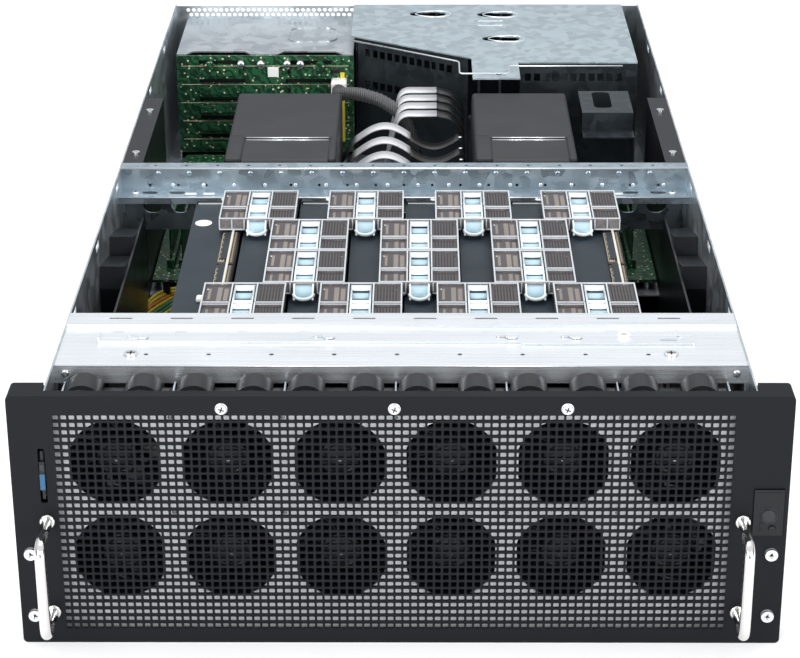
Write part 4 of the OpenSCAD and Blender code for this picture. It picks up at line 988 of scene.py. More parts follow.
    def controls(self, frame: dict[str, Any]) -> None:
        """Dresses the control module and adds its bare badge, button ring and lamps.

        Args:
            frame: the loaded frame.
        """
        dress(frame, GLOSS_BLACK, "control_module")
        dress(frame, MODULE_BLACK, "power_button", "id_button", "tag_sleeve", "info_tag")
        shell = Shell()
        ring = [(0.0, 5.6), (0.5, 5.6), (0.6, 5.2), (0.6, 5.05), (0.0, 5.05)]
        shell.add(turned(ring, (229.0, FRONT - 1.15, 92.7), 1, -1, 32), 0, True)
        shell.add(soft_box((221.3, 236.4), (-1.45, -1.1), (99.8, 109.0), 0.3), 1)
        # Small upright box in the near-black used for painted recess shade.
        shell.add(soft_box((223.4, 225.2), (-1.5, -1.1), (81.4, 88.6), 0.3), 2)
        shell.build("control_trim", [DARK_SHEET, GLOSS_BLACK, RECESS_SHADE])
        disc = [(0.0, 4.1), (0.25, 4.0), (0.4, 3.4), (0.45, 1.0)]
        Shell().add(turned(disc, (229.0, FRONT - 1.9, 92.7), 1, -1, 32), 0, True).build(
            "power_button_face", [DUSK_PLASTIC], "power_button")
        grip = Shell().add(soft_box((-223.25, -219.95), (-1.8, -0.6), (110.5, 121.5), 0.35), 0)
        grip.add(soft_box((-223.1, -220.1), (-1.3, -0.5), (123.5, 128.0), 0.3), 1)
        grip.build("tag_grip", [SIGNAL_BLUE, DARK_SHEET], "info_tag")

    def build(self, frame: dict[str, Any]) -> None:
        """Builds everything on the front.

        Args:
            frame: the loaded frame.
        """
        dress(frame, POWDER_BLACK, "panel_frame")
        dress(frame, ZINC, "front_screws")
        dress(frame, PALE_SHEET, "fan_wall")
        self.plate()
        self.screws()
        self.handles()
        self.controls(frame)


# ---------------------------------------------------------------- fans


@dataclass
class FanBank:
    """Six lift-out modules of two fans each."""

    first_x: float = -177.0
    pitch_x: float = 69.6
    heights: tuple[float, float] = (57.8, 124.1)
    front: float = 14.9
    length: float = 26.0
    hub_r: float = 13.5
    tip_r: float = 28.6
    blades: int = 7

    def blade(self) -> tuple[Points, list[Faces]]:
        """One blade as a loft of thin lens sections.

        Radius runs from the hub to the tip. At each radius the section goes round a
        lens: its chord spans an angle that grows a little outwards and climbs along the
        axis, and its thickness follows the sine of the same turn.

        Returns:
            Points about the fan's own centre line, in X, Y and Z, and the faces.
        """
        span, turn = np.meshgrid(np.linspace(0, 1, 8), np.linspace(0, 2 * np.pi, 14, endpoint=False), indexing="ij")
        radius = self.hub_r - 1.2 + span * (self.tip_r - self.hub_r + 1.2)
        chord, skin = np.cos(turn), np.sin(turn)
        angle = np.radians(23 + 4 * span) * chord + np.radians(16) * span ** 1.5
        rise = -10.5 * chord * (1 - 0.12 * span) + 1.6 * (1 - chord ** 2)
        rise = rise + 0.75 * skin * (1.2 - 0.5 * span)
        rings = np.stack([radius * np.cos(angle), rise, radius * np.sin(angle)], axis=-1)
        return swept(rings)

    def rotor(self, number: int) -> None:
        """Builds one rotor: hub, blades and the bright end of the shaft.

        Args:
            number: from 1 to 12, two to a module.
        """
        column, row = divmod(number - 1, 2)
        centre = np.array([self.first_x + column * self.pitch_x, FRONT + self.front, self.heights[row]])
        shell = Shell()
        hub = [(25.9, 10.5), (26.0, 12.6), (25.0, self.hub_r), (3.0, self.hub_r), (0.8, 12.9), (0.1, 11.6),
               (0.0, 10.2), (0.5, 9.6), (0.6, 2.0)]
        shell.add(turned(hub, centre, 1, 1, 36), 0, True)
        shell.add(turned([(0.2, 1.5), (-0.9, 1.5), (-1.3, 0.7)], centre, 1, 1, 14), 2, True)
        shell.add(turned([(0.62, 9.3), (0.35, 9.2), (0.3, 3.0)], centre, 1, 1, 30), 1, True)
        points, faces = self.blade()
        middle = centre + (0, self.length / 2, 0)
        for k in range(self.blades):
            a = 2 * np.pi * k / self.blades + number
            spun = np.stack([points[:, 0] * np.cos(a) - points[:, 2] * np.sin(a), points[:, 1],
                             points[:, 0] * np.sin(a) + points[:, 2] * np.cos(a)], axis=1)
            shell.add((spun + middle, faces), 0, True)
        shell.build(f"rotor_{number:02d}", [MODULE_BLACK, DUSK_PLASTIC, WHITE], f"fan_rotor_{number}",
                    (f"fan_rotor_{number}",))

    def build(self, frame: dict[str, Any]) -> None:
        """Builds the rotors and dresses the modules and their cage.

        Args:
            frame: the loaded frame.
        """
        dress(frame, MODULE_BLACK, *[f"fan_module_{i}" for i in range(1, 7)])
        dress(frame, GALVANISED, "fan_cage")
        for number in range(1, 13):
            self.rotor(number)


# ---------------------------------------------------------------- card bay


@dataclass
class LinkBridge:
    """Clear tray that joins two cards, with its two boards and its pull loop."""

    width: float = 56.5
    length: float = 58.5
    height: float = 9.3
    seat: float = 156.4
    wall: float = 1.1
    split: float = 24.0
    grip: float = 8.0
    outer_x: float = -108.05
    inner_x: float = -68.05
    pitch: float = 80.0
    rows: tuple[float, ...] = (142.0, 202.5, 263.0, 323.5)

    def places(self) -> list[tuple[float, float, float]]:
        """Where the bridges stand: four in the outer rows and three in the inner ones."""
        outer = [(self.outer_x + self.pitch * i, d, 0.0) for d in (self.rows[0], self.rows[3]) for i in range(4)]
        inner = [(self.inner_x + self.pitch * i, d, 0.0) for d in self.rows[1:3] for i in range(3)]
        return outer + inner

    def box(self, x0: float, x1: float, y0: float, y1: float, z0: float, z1: float,
            edge: float = 0.2) -> tuple[Points, list[Faces]]:
        """Soft box in the bridge's own coordinates."""
        return soft_box((x0, x1), (y0, y1), (self.seat + z0, self.seat + z1), edge)

    def tray(self, shell: Shell, copies: Any) -> None:
        """Adds the clear walls, each topped by a pale opaque strip that is a painted highlight along its edge, and the
        front lip with its posts, all in that painted highlight finish.

        Args:
            shell: shell that gets them.
            copies: places of the bridges.
        """
        w, n, h, t, s, g = self.width / 2, self.length, self.height, self.wall, self.split, self.grip
        runs = [(-w, w, 0, t, h - 0.2), (-w, w, n - t, n, h), (-w, -w + t, t, n - t, h), (w - t, w, t, n - t, h),
                (-w + t, -g, s, s + t, h), (g, w - t, s, s + t, h), (-w + t, -g, s - 2.4, s - 2.4 + t * 0.6, h - 0.4),
                (g, w - t, s - 2.4, s - 2.4 + t * 0.6, h - 0.4), (-g - t, -g, t, n - t, h), (g, g + t, t, n - t, h)]
        for x0, x1, y0, y1, top in runs:
            shell.add(self.box(x0, x1, y0, y1, 0.2, top - 0.7), 1, False, copies)
            # Top 0.7 mm of each wall in the pale opaque finish: painted highlight along the edge.
            shell.add(self.box(x0, x1, y0, y1, top - 0.7, top, 0.12), 0, False, copies)
        # Front lip and posts wholly in the same pale finish: painted highlight.
        for x0, x1 in ((-w, -g - 1), (g + 1, w)):
            shell.add(self.box(x0, x1, -1.2, 0.2, 0.0, 0.9, 0.2), 0, False, copies)
            for x in (x0 + 0.5, (x0 + x1) / 2, x1 - 0.5):
                shell.add(self.box(x - 0.5, x + 0.5, -1.0, 0.3, 0.6, h - 1.2), 0, False, copies)

    def boards(self, shell: Shell, copies: Any) -> None:
        """Adds the brown boards, the blank labels and the grids of holes in the cells, the holes drawn as near-black
        squares: painted shade.

        Args:
            shell: shell that gets them.
            copies: places of the bridges.
        """
        w, n, t, s, g = self.width / 2, self.length, self.wall, self.split, self.grip
        for x0, x1 in ((-w + t, -g - t), (g + t, w - t)):
            shell.add(self.box(x0, x1, s + t, n - t, 0.6, 7.6), 0, False, copies)
            shell.add(self.box(x0, x1, t + 0.4, s - 2.6, 0.6, 7.0), 0, False, copies)
        strips = ((-24.6, 32, 2.0, 19, 7.6), (-18.4, 29, 3.4, 24, 7.6), (-13.8, 30, 3.2, 21, 7.6),
                  (-24.2, 5, 1.8, 12, 7.0), (-18.0, 4.5, 3.0, 14, 7.0), (-13.4, 5, 2.6, 12, 7.0))
        for x, y, width, deep, top in strips:
            shell.add(self.box(x, x + width, y, y + deep, top - 0.05, top + 0.15, 0.04), 1, False, copies)
        # Each hole is a small flat square in the near-black finish: painted shade standing in for the hole.
        for across, along, x, y, top in ((7, 13, 11.0, 28.6, 7.6), (7, 8, 11.0, 4.0, 7.0)):
            gx, gy = np.meshgrid(np.arange(across) * 2.1, np.arange(along) * 2.1)
            tiny = np.stack([gx.ravel(), gy.ravel(), np.zeros(gx.size)], axis=1)
            every = (np.asarray(copies)[:, None] + tiny[None]).reshape(-1, 3)
            shell.add(self.box(x, x + 1.0, y, y + 1.0, top - 0.05, top + 0.08, 0.03), 2, False, every)
        for x in (-w + 3.0, w - 3.4, w - 3.4):
            shell.add(turned([(0.0, 0.8), (0.5, 0.7)], (x, FRONT + n - 9.0, self.seat + 7.6), 2, 1, 10), 3, True,
                      copies)

    def loop(self, shell: Shell, copies: Any) -> None:
        """Adds the pull loop: clear saddles between two arms, and a lip that hangs over the front.

        Each saddle is a strap as wide as the loop that follows a sine arch in depth, so the light runs across it in
        bands. The arms, the rim and four saddles are in a paler, less clear copy of the blue plastic: painted
        highlight.

        Args:
            shell: shell that gets it.
            copies: places of the bridges.
        """
        g, n, s, z = self.grip - 0.9, self.length, self.split, self.seat
        arm = arc_path([(0, n - 3, z + 8.2), (0, s, z + 8.6), (0, 2, z + 8.2), (0, -7, z + 2.4), (0, -10.6, z - 0.6)],
                       3.5, 6) + (0, FRONT, 0)
        for x in (-g + 0.6, g - 0.6):
            shell.add(strap(arm + (x, 0, 0), 1.4, 1.2, axis=0), 1, True, copies)
        turn = np.linspace(0, np.pi, 15)
        # Last number picks the finish: 1 is the paler copy of the clear plastic, a painted highlight, and 0 the plain
        # clear blue.
        saddles = ((n - 2.0, n - 10.5, 7.4, 1.4, 1), (n - 11.0, n - 20.5, 5.4, 1.6, 0), (s + 6.0, s + 1.5, 7.2, 1.4, 1),
                   (s - 1.0, s - 8.0, 7.4, 1.8, 1), (s - 8.5, s - 15.0, 6.0, 1.4, 0), (7.0, 1.0, 6.2, 2.0, 1))
        for start, end, base, arch, finish in saddles:
            path = np.stack([np.zeros(15), FRONT + start + (end - start) * turn / np.pi,
                             z + base + arch * np.sin(turn)], axis=1)
            shell.add(strap(path, 2 * g - 1.4, 1.0, axis=0), finish, True, copies)
        slope = arc_path([(0, 1.0, z + 6.4), (0, -4.0, z + 4.4), (0, -8.5, z + 0.6)], 2.2, 6) + (0, FRONT, 0)
        shell.add(strap(slope, 2 * g - 1.6, 0.9, axis=0), 0, True, copies)
        # The lip's rim in the paler copy: painted highlight.
        rim = np.stack([-g * 0.96 * np.cos(turn), FRONT - 6.5 - 4.4 * np.sin(turn),
                        z + 2.2 - 2.0 * np.sin(turn)], axis=1)
        shell.add(tube(rim, 1.25, 10), 1, True, copies)
        # Near-black plate in the slot between the saddles: painted shade in the gap.
        shell.add(self.box(-g + 0.8, g - 0.8, s + 8.0, s + 12.5, 4.0, 5.0), 2, False, copies)

    def build(self) -> None:
        """Builds all bridges as three pieces: the clear trays, their boards and their loops."""
        copies = self.places()
        clear, held, loops = Shell(), Shell(), Shell()
        self.tray(clear, copies)
        clear.build("bridge_trays", [CLEAR_EDGE_HIGHLIGHT, CLEAR_WALL])
        self.boards(held, copies)
        held.build("bridge_boards", [CELL_BROWN, BLANK_LABEL, RECESS_SHADE, ZINC], nodes=("link_bridges",))
        self.loop(loops, copies)
        loops.build("bridge_loops", [CLEAR_BLUE, CLEAR_HIGHLIGHT, RECESS_SHADE])


@dataclass
class CardBay:
    """Eight cards in ten positions, their end brackets and the edge connectors in view."""

    left: float = -158.4
    pitch: float = 40.0
    count: int = 8
    shroud_w: float = 27.0
    board_x: float = 32.0
    top: float = 153.4
    back: float = 392.0

    def brackets(self) -> None:
        """Builds the dark end bracket of every card with its bright line and screw."""
        shell = Shell()
        copies = [(self.left + self.pitch * k, 0, 0) for k in range(self.count)]
        z = self.top
        shell.add(soft_box((0.5, 31.5), (384.4, 391.8), (z - 6, z + 2.2), 0.5), 0, False, copies)
        shell.add(soft_box((1.5, 30.0), (383.4, 384.5), (z - 0.2, z + 1.2), 0.2), 1, False, copies)
        ScrewHead(5.4, 1.5).put(shell, [(x + 21.5, 388.0, z + 2.1) for x, _, _ in copies], 2, 1, 2, 0)
        arrow = np.array([(8.0, 388.9), (12.0, 387.6), (16.0, 388.9), (16.0, 388.1), (12.0, 386.7), (8.0, 388.1)])
        shell.add(sheet(Plane.LEVEL, arrow, [], z + 2.1, z + 2.5), 3, False, copies)
        shell.build("card_end_brackets", [MODULE_BLACK, BRIGHT_SHEET, WHITE, DUSK_PLASTIC])

    def combs(self) -> None:
        """Builds the sockets with pale outlines on the open edge connectors of the outer cards."""
        shell = Shell()
        for card in (0, self.count - 1):
            x = self.left + self.pitch * card + self.board_x
            for start, end in ((203, 257), (262, 322)):
                shell.add(soft_box((x - 6.6, x + 5.0), (start - 1, end + 1), (149.0, 155.2), 0.5), 0)
                steps = np.arange(start + 1.0, end - 8.0, 9.4)
                rows = np.stack([np.zeros(len(steps)), steps, np.zeros(len(steps))], axis=1)
                for low, high in ((0.0, 1.0), (6.6, 7.6)):
                    shell.add(soft_box((x - 6.4, x - 1.6), (low, high), (155.0, 156.0), 0.15), 1, False, rows)
                for low, high in ((-6.4, -5.6), (-2.4, -1.6)):
                    shell.add(soft_box((x + low, x + high), (0.6, 7.0), (155.0, 156.0), 0.15), 1, False, rows)
                shell.add(soft_box((x - 5.0, x - 3.0), (2.0, 5.6), (154.6, 155.6), 0.2), 2, False, rows)
                fine = np.arange(start + 1.0, end - 1.0, 3.1)
                rows = np.stack([np.zeros(len(fine)), fine, np.zeros(len(fine))], axis=1)
                shell.add(soft_box((x + 2.6, x + 3.8), (0, 1.4), (154.9, 155.7), 0.1), 1, False, rows)
        shell.build("edge_contacts", [UMBER, GOLD, ZINC])

    def edges(self) -> None:
        """Builds the pale edge of each board, the brace behind it, a near-black board strip in front of it that is
        painted shade in the gap between cards, and the blank round label.
        """
        shell = Shell()
        copies = [(self.left + self.pitch * k + self.board_x, 0, 0) for k in range(self.count)]
        shell.add(soft_box((-0.1, 1.7), (122.5, 392.6), (155.0, 156.6), 0.3), 0, False, copies)
        shell.add(soft_box((1.9, 6.0), (133.0, 383.0), (148.0, 153.8), 0.8), 1, False, copies)
        # Near-black board strip beside each edge: painted shade in the gap between cards.
        shell.add(soft_box((-5.2, -0.2), (130.0, 386.0), (146.0, 151.0), 0.8), 2, False, copies)
        disc = [(0.0, 6.35), (0.2, 6.35), (0.28, 6.1), (0.3, 1.0)]
        shell.add(turned(disc, (-149.6, FRONT + 344.6, self.top - 0.05), 2, 1, 32), 3, False)
        shell.add(soft_box((-142.2, -134.0), (193.5, 200.5), (self.top, self.top + 3.2), 0.8), 3)
        shell.build("card_edges", [CREAM, MODULE_BLACK, BOARD_IN_SHADE, WHITE])

    def wiring(self) -> None:
        """Builds the loose bundle of wires, its clip and its plug in the left corner of the bay.

        Each wire is an arch in depth and height between two ends: a half sine lifts it, and
        its share of the bundle sets how far out it swings.
        """
        shell = Shell()
        t = np.linspace(0, 1, 26)[:, None]
        for k, finish in enumerate((0, 0, 1, 0, 2, 2, 0)):
            swing = 3.4 * k
            start = np.array([-186.0 + 1.2 * k, 405.0 - 2.0 * k, 74.0 - 1.5 * k])
            end = np.array([-196.0 + 0.8 * k, 372.0 + 2.4 * k, 48.0])
            bow = np.array([-9.0 - swing * 0.6, -6.0 - swing, 9.0 - 2.0 * k])
            path = start + (end - start) * t + bow * np.sin(np.pi * t) + (0, FRONT, 0)
            shell.add(tube(path, 1.35, 8, across=(1.0, 0.3, 0.1)), finish, True)
            run = np.array([-186.0 + 1.2 * k, 405.0 - 2.0 * k, 74.0 - 1.5 * k]) + (0, FRONT, 0)
            lead = run + np.linspace(0, 1, 8)[:, None] * np.array([26.0, 4.0, 2.0])
            shell.add(tube(lead, 1.35, 8), finish, True)
        shell.add(soft_box((-189.0, -183.5), (399.0, 403.0), (48.0, 84.0), 0.8), 3)
        shell.add(soft_box((-205.0, -194.0), (352.0, 364.0), (46.6, 62.0), 2.0), 4)
        shell.add(soft_box((-202.0, -197.0), (350.0, 366.0), (46.6, 50.0), 0.6), 4)
        shell.build("bay_wiring", [SOFT_YELLOW, WIRE_ORANGE, WIRE_GREEN, MODULE_BLACK, WHITE])

    def build(self, frame: dict[str, Any]) -> None:
        """Builds what the cards carry and dresses their solids.

        Args:
            frame: the loaded frame.
        """
        dress(frame, SLATE, "accelerator_cards")
        # The switch board is drawn near-black, painted shade: it is seen only in the dark behind the fans.
        dress(frame, BOARD_IN_SHADE, "switch_board")
        dress(frame, DUCT_BLACK, "air_ducts")
        self.brackets()
        self.combs()
        self.edges()
        self.wiring()


# ---------------------------------------------------------------- sheet metal across the body


@dataclass
class RetentionBar:
    """Bright bar over the front of the cards with its sliding lock."""

    plate_top: float = 171.2
    strip_top: float = 173.2
    half: float = 218.8

    def build(self, frame: dict[str, Any]) -> None:
        """Dresses the bar and adds screw heads, rivets and the plunger's grip.

        Args:
            frame: the loaded frame.
        """
        dress(frame, BRIGHT_SHEET, "card_bar")
        dress(frame, BRIGHT_SHEET, "lock_bar")
        dress(frame, POLISHED, "lock_plunger")
        dress(frame, ZINC, "case_screws")
        shell = Shell()
        ScrewHead(9.5, 1.1).put(shell, [(s * 172.0, 68.6, self.plate_top + 0.2) for s in (-1, 1)], 2, 1)
        places = np.array([(s * 212.0, 51.6 + FRONT, 165.5) for s in (-1, 1)])
        shell.add(turned([(0.0, 2.6), (0.5, 2.4), (0.8, 1.5)], (0, 0, 0), 1, -1, 16), 0, True, places)
        lip = tube(np.array([(-self.half, FRONT + 51.9, 170.7), (self.half, FRONT + 51.9, 170.7)]), 0.55, 8)
        shell.add(lip, 2, True)
        shell.add(tube(np.array([(-self.half, FRONT + 112.9, 172.8), (self.half, FRONT + 112.9, 172.8)]), 0.45, 8),
                  2, True)
        shell.build("bar_fasteners", [ZINC, RECESS_SHADE, BRIGHT_SHEET])
        knob = [(0.0, 4.2), (1.2, 4.2), (1.7, 3.6), (1.75, 2.6), (1.3, 2.2), (1.25, 0.6)]
        Shell().add(turned(knob, (144.0, FRONT + 94.5, 172.6), 2, 1, 28), 0, True).build(
            "plunger_knob", [WHITE], "lock_plunger")


@dataclass
class Crossmember:
    """Blue-grey member between the two bays, with dimples along its edges."""

    half: float = 218.8
    face: float = 414.0
    top: float = 172.0
    ledge: float = 154.0

    def build(self, frame: dict[str, Any]) -> None:
        """Dresses the member and adds its rolled edges, round bars in a brighter sheet than the member that carry a
        painted edge highlight; dimples; a row of small bright domes low on the face that are painted reflections;
        screws and ledge tabs.

        Args:
            frame: the loaded frame.
        """
        dress(frame, BLUE_SHEET, "crossmember")
        shell = Shell()
        # Top edge and ledge front edge: round bars in the bright sheet, real rounding with a painted edge highlight.
        for y, z, r in ((self.face + 0.2, self.top - 0.5, 0.75), (self.face - 19.8, self.ledge + 0.9, 0.7)):
            shell.add(tube(np.array([(-self.half, FRONT + y, z), (self.half, FRONT + y, z)]), r, 10), 0, True)
        dimple = [(0.0, 2.3), (0.35, 2.1), (0.6, 1.4), (0.68, 0.5)]
        x = np.arange(-190, 191, 23.75)
        seats = np.stack([x, np.full(len(x), FRONT + self.face), np.full(len(x), self.ledge + 13.5)], axis=1)
        shell.add(turned(dimple, (0, 0, 0), 1, -1, 16), 1, True, seats)
        # Small bright domes low on the face: painted reflections of the ledge's markings.
        base = np.stack([x + 11.0, np.full(len(x), FRONT + self.face), np.full(len(x), self.ledge + 4.0)], axis=1)
        shell.add(turned([(0, 1.7), (0.4, 1.5), (0.55, 0.8)], (0, 0, 0), 1, -1, 12), 0, True, base)
        tabs = [(s * a, 0.0, 0.0) for s in (-1, 1) for a in (150.0, 164.0)]
        shell.add(soft_box((-4.5, 4.5), (398.5, 402.0), (155.1, 156.6), 0.5), 0, False, tabs)
        ScrewHead(6.0, 1.3).put(shell, [(s * 207.0, 404.0, 155.2) for s in (-1, 1)], 2, 1, 0, 2)
        shell.build("crossmember_trim", [BRIGHT_SHEET, BLUE_SHEET, RECESS_SHADE])


# ---------------------------------------------------------------- rear bay


@dataclass
class RearBay:
    """System board bay: shrouds, memory, ribbons, riser, backplane and drives."""

    half: float = 218.8
    board_top: float = 67.6
    shroud_top: float = 164.6
    left_shroud: tuple[float, float, float, float] = (-143.0, -54.0, 456.0, 624.0)
    right_shroud: tuple[float, float, float, float] = (56.5, 137.5, 456.0, 624.0)

    def pillow(self, x: Sequence[float], y: Sequence[float], z: Sequence[float], r: float) -> tuple[Points, list[Faces]]:
        """Moulded block whose upright and end edges are all round.

        Rings of a rounded rectangle in X and Z are carried along the depth. Near the
        ends they shrink by the radius less a quarter circle's height, so the ends crown.

        Args:
            x: limits across.
            y: limits in depth.
            z: limits in height.
            r: radius of the edges.

        Returns:
            The points and the faces.
        """
        turn = np.linspace(0, np.pi / 2, 6)
        lead, draw = r * (1 - np.sin(turn[::-1])), r * (1 - np.cos(turn[::-1]))
        depth = np.concatenate([y[0] + r - r * np.sin(turn[::-1]), y[1] - r + r * np.sin(turn)]) + FRONT
        inset = np.concatenate([draw, draw[::-1]])
        del lead
        rings = []
        for d, i in zip(depth, inset):
            loop = soft_loop(x[0] + i, z[0], x[1] - i, z[1] - i, max(0.4, r - i * 0.6), 5)
            rings.append(np.stack([loop[:, 0], np.full(len(loop), d), loop[:, 1]], axis=1))
        return swept(np.array(rings))

    def shrouds(self) -> None:
        """Builds both air shrouds with the sunken field and its double step, whose edges carry two bright metal lines:
        painted highlights on the plastic.
        """
        shell = Shell()
        for x0, x1, y0, y1 in (self.left_shroud, self.right_shroud):
            z = self.shroud_top
            shell.add(self.pillow((x0, x1), (y0, y1), (self.board_top, z - 1.6), 5.0), 0, True)
            field_end = y0 + 52
            shell.add(self.pillow((x0 + 0.2, x1 - 0.2), (field_end, y1 - 0.4), (z - 7, z), 3.0), 0, True)
            shell.add(self.pillow((x0 + 0.2, x0 + 14), (y0 + 0.4, field_end + 6), (z - 7, z), 2.5), 0, True)
            shell.add(self.pillow((x1 - 7, x1 - 0.2), (y0 + 0.4, field_end + 6), (z - 7, z), 2.5), 0, True)
            # Two bright metal lines along the step's edges: painted highlight.
            for shift, lift in ((0.4, -0.7), (-3.4, -1.4)):
                path = np.array([(x0 + 14.5, FRONT + field_end + shift, z + lift),
                                 (x1 - 7.5, FRONT + field_end + shift, z + lift)])
                shell.add(tube(path, 0.5, 8), 1, True)
        shell.build("air_shroud_covers", [DUSK_PLASTIC, BRIGHT_SHEET], nodes=("air_shrouds",))

    def ribbons(self) -> None:
        """Builds the eight flat cables and the ribbed loom.

        The rear four climb steeply, turn over a tight bend and run level; the front four
        rise in a low arch and dip before the right shroud. Each is one strap, silver up
        to a seam and black beyond it.
        """
        shell = Shell()
        floor = self.board_top + 6
        for i, y in enumerate((672, 655, 638, 621)):
            z = 151.0 - 1.5 * i
            climb = arc_path([(-20 - i, y, floor), (-12 - 0.5 * i, y, z - 30), (-5, y, z), (27, y, z)], 9.0, 9)
            run = arc_path([(26.6, y, z - 0.2), (40, y, z - 3.0), (50, y, z - 14 - 2 * i), (52, y, floor)], 6.0, 7)
            self.band(shell, climb, 14.5, 0)
            self.band(shell, run, 14.5, 1)
        for i, y in enumerate((590, 562, 534, 506)):
            z = 146.0 - 3.0 * i
            t = np.linspace(0, 1, 15)
            lead = arc_path([(-62 + 2 * i, y, floor), (-56, y, z - 34), (-43, y, z - 13)], 8.0, 7)
            arch = np.stack([-43 + 47 * t, np.full(15, y), z - 13 + 13 * np.sin(np.pi * t * 0.9)], axis=1)
            dip = np.stack([3.6 + 41 * t, np.full(15, y), z - 10.2 - 8.5 * np.sin(np.pi * t)], axis=1)
            tail = arc_path([(44.2, y, z - 10.2), (50, y, z - 13), (51, y, floor)], 5.0, 7)
            self.band(shell, lead, 16.0, 1)
            self.band(shell, arch, 16.0, 0)
            self.band(shell, dip, 16.0, 1)
            self.band(shell, tail, 15.0, 1)
        seats = [(x, y, self.board_top) for x, y in [(-20, 672), (-21, 655), (-22, 638), (-23, 621), (52, 672),
                                                    (52, 655), (52, 638), (52, 621)]]
        seats += [(x, y, self.board_top) for i, y in enumerate((590, 562, 534, 506)) for x in (-62 + 2 * i, 51)]
        shell.add(soft_box((-4, 4), (-7.5, 7.5), (0, 8), 0.8), 2, False, seats)
        ScrewHead(3.6, 1.0).put(shell, [(46.5, y - 5.0, 137.5) for y in (590, 562, 534, 506)], 2, 1, 3, 2)
        route = np.array([(-61, 737, 130), (-61, 724, 130), (-58, 706, 136), (-50, 688, 143), (-38, 672, 147),
                          (-22, 660, 146), (-8, 651, 140), (2, 646, 128), (7, 643, 112), (9, 642, 96), (9, 642, 76)])
        t = np.linspace(0, len(route) - 1, 90)
        fine = np.stack([np.interp(t, np.arange(len(route)), route[:, k]) for k in range(3)], axis=1)
        kernel = np.hanning(11) / np.hanning(11).sum()
        padded = np.concatenate([np.repeat(fine[:1], 5, 0), fine, np.repeat(fine[-1:], 5, 0)])
        smooth = np.stack([np.convolve(padded[:, k], kernel, "valid") for k in range(3)], axis=1)
        radius = 5.6 + 0.4 * np.cos(np.arange(len(smooth)) * np.pi)
        shell.add(tube(smooth + (0, FRONT, 0), radius, 14, across=(1.0, 0.2, 0.0)), 4, True)
        shell.add(soft_box((-68, -54), (736, 752.4), (123, 137), 1.0), 5)
        shell.add(soft_box((2, 16), (635, 649), (self.board_top, 77), 1.0), 5)
        shell.build("ribbon_cables", [SILVER_RIBBON, BLACK_RIBBON, MODULE_BLACK, ZINC, LOOM, WHITE],
                    nodes=("internal_cables",))

    def band(self, shell: Shell, path: Points, width: float, finish: int) -> None:
        """Adds one stretch of flat cable along a path given in X, depth and Z."""
        shell.add(strap(np.asarray(path) + (0, FRONT, 0), width, 1.5), finish, True)

    def riser(self, frame: dict[str, Any]) -> None:
        """Builds the riser's cover with its drop-shaped holes, rim and stamped frame: round bars in a brighter sheet
        than the cover trace these edges, real relief with a painted edge highlight.

        Args:
            frame: the loaded frame.
        """
        dress(frame, DARK_SHEET, "riser_cage")
        dress(frame, COVER_SHEET, "riser_cover")
        shell = Shell()
        # Round bars in the bright sheet along the rim, round the holes and round the stamped frame: raised edges with a
        # painted highlight.
        edge = np.array([(-50, 755), (47, 690), (47, 655), (90, 655), (90, 677), (190, 677)], float)
        rim = np.column_stack([edge[:, 0], edge[:, 1] + FRONT, np.full(len(edge), 171.4)])
        shell.add(tube(arc_path(rim, 4.0, 5), 0.8, 8), 0, True)
        for x, y in ((20, 838), (83, 836), (86, 758)):
            turn = np.linspace(0, 2 * np.pi, 33)
            loop = np.stack([x + 5 + 16.5 * np.cos(turn), y - 0.5 + FRONT + (9.5 + 2 * np.cos(turn)) * np.sin(turn),
                             np.full(33, 172.0)], axis=1)
            shell.add(tube(loop, 0.55, 6), 0, True)
        stamp = soft_loop(66, 800, 90, 814, 2.0, 4)
        ring = np.column_stack([stamp[:, 0], stamp[:, 1] + FRONT, np.full(len(stamp), 172.0)])
        shell.add(tube(np.concatenate([ring, ring[:1]]), 0.35, 6), 0, True)
        shell.build("riser_trim", [BRIGHT_SHEET])

    def drives(self, frame: dict[str, Any]) -> None:
        """Dresses the drive bay and fills its backplane with parts.

        Args:
            frame: the loaded frame.
        """
        dress(frame, GALVANISED, "drive_cage")
        dress(frame, MODULE_BLACK, "drive_carriers")
        dress(frame, BOARD, "backplane", "system_board", "memory_modules")
        dress(frame, ZINC, "heat_sinks")
        shell = Shell()
        face = 747.4
        rows = 69.2 - 4 + 17.5 * np.arange(5)
        for z in rows:
            for x in (-188.0, -170.0, -108.0, -88.0, -70.0):
                shell.add(soft_box((x, x + 9), (face + 3.6, face + 5.2), (z + 6, z + 10), 0.5), 0)
            shell.add(soft_box((-205, -52), (face + 4.6, face + 5.2), (z + 12.4, z + 13.0), 0.2), 2)
        can = [(0.0, 3.4), (6.6, 3.4), (7.0, 3.1), (7.05, 1.0)]
        cans = [(x, FRONT + face + 5, 151.0) for x in (-150.0, -132.0, -108.0, -96.0)]
        shell.add(turned(can, (0, 0, 0), 1, -1, 18), 1, True, cans)
        shell.add(soft_box((-126, -116), (face + 3, face + 5.2), (138, 147), 0.3), 3)
        shell.add(soft_box((-60, -56), (face + 3, face + 5.2), (76, 142), 0.3), 4)
        shell.build("backplane_parts", [MODULE_BLACK, ZINC, GOLD, WHITE, SOFT_YELLOW])

    def build(self, frame: dict[str, Any]) -> None:
        """Builds the whole rear bay.

        Args:
            frame: the loaded frame.
        """
        self.shrouds()
        self.ribbons()
        self.riser(frame)
        self.drives(frame)
        dress(frame, DUCT_BLACK, "side_rails")


@dataclass
class Chassis:
    """Folded sheet of the body and what closes its back."""

    supplies: int = 4

    def build(self, frame: dict[str, Any]) -> None:
        """Dresses the sheets and the power supplies.

        Args:
            frame: the loaded frame.
        """
        dress(frame, GALVANISED, "chassis_floor", "side_wall_left", "side_wall_right", "rear_wall", "rear_deck")
        dress(frame, GALVANISED, *[f"power_supply_{i + 1}" for i in range(self.supplies)])


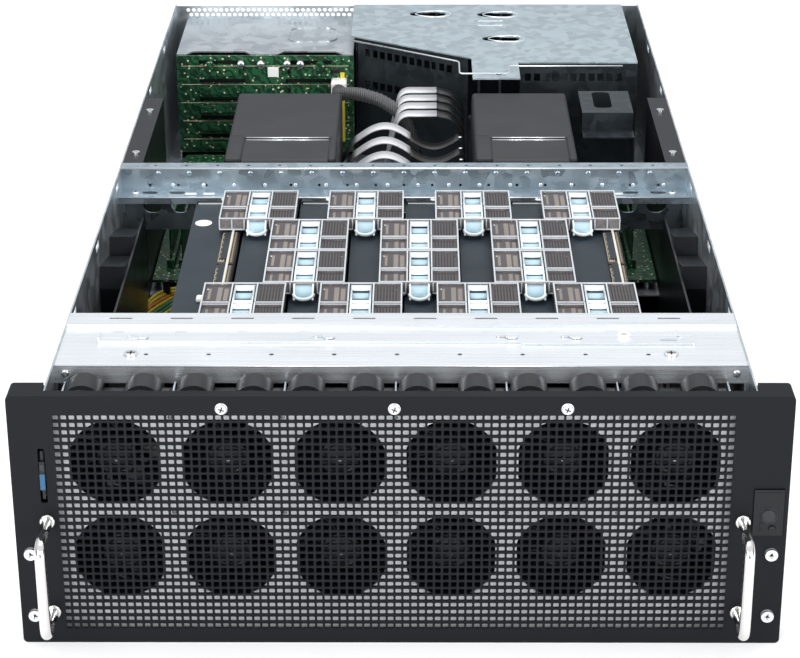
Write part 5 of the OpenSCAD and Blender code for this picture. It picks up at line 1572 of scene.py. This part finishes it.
def main() -> None:
    """Builds the studio and every part of the server."""
    logging.basicConfig(level=logging.INFO, format="%(name)s %(message)s")
    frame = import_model()
    Studio().build()
    Chassis().build(frame)
    FrontPanel().build(frame)
    FanBank().build(frame)
    CardBay().build(frame)
    LinkBridge().build()
    RetentionBar().build(frame)
    Crossmember().build(frame)
    RearBay().build(frame)


if __name__ == "__main__":
    main()
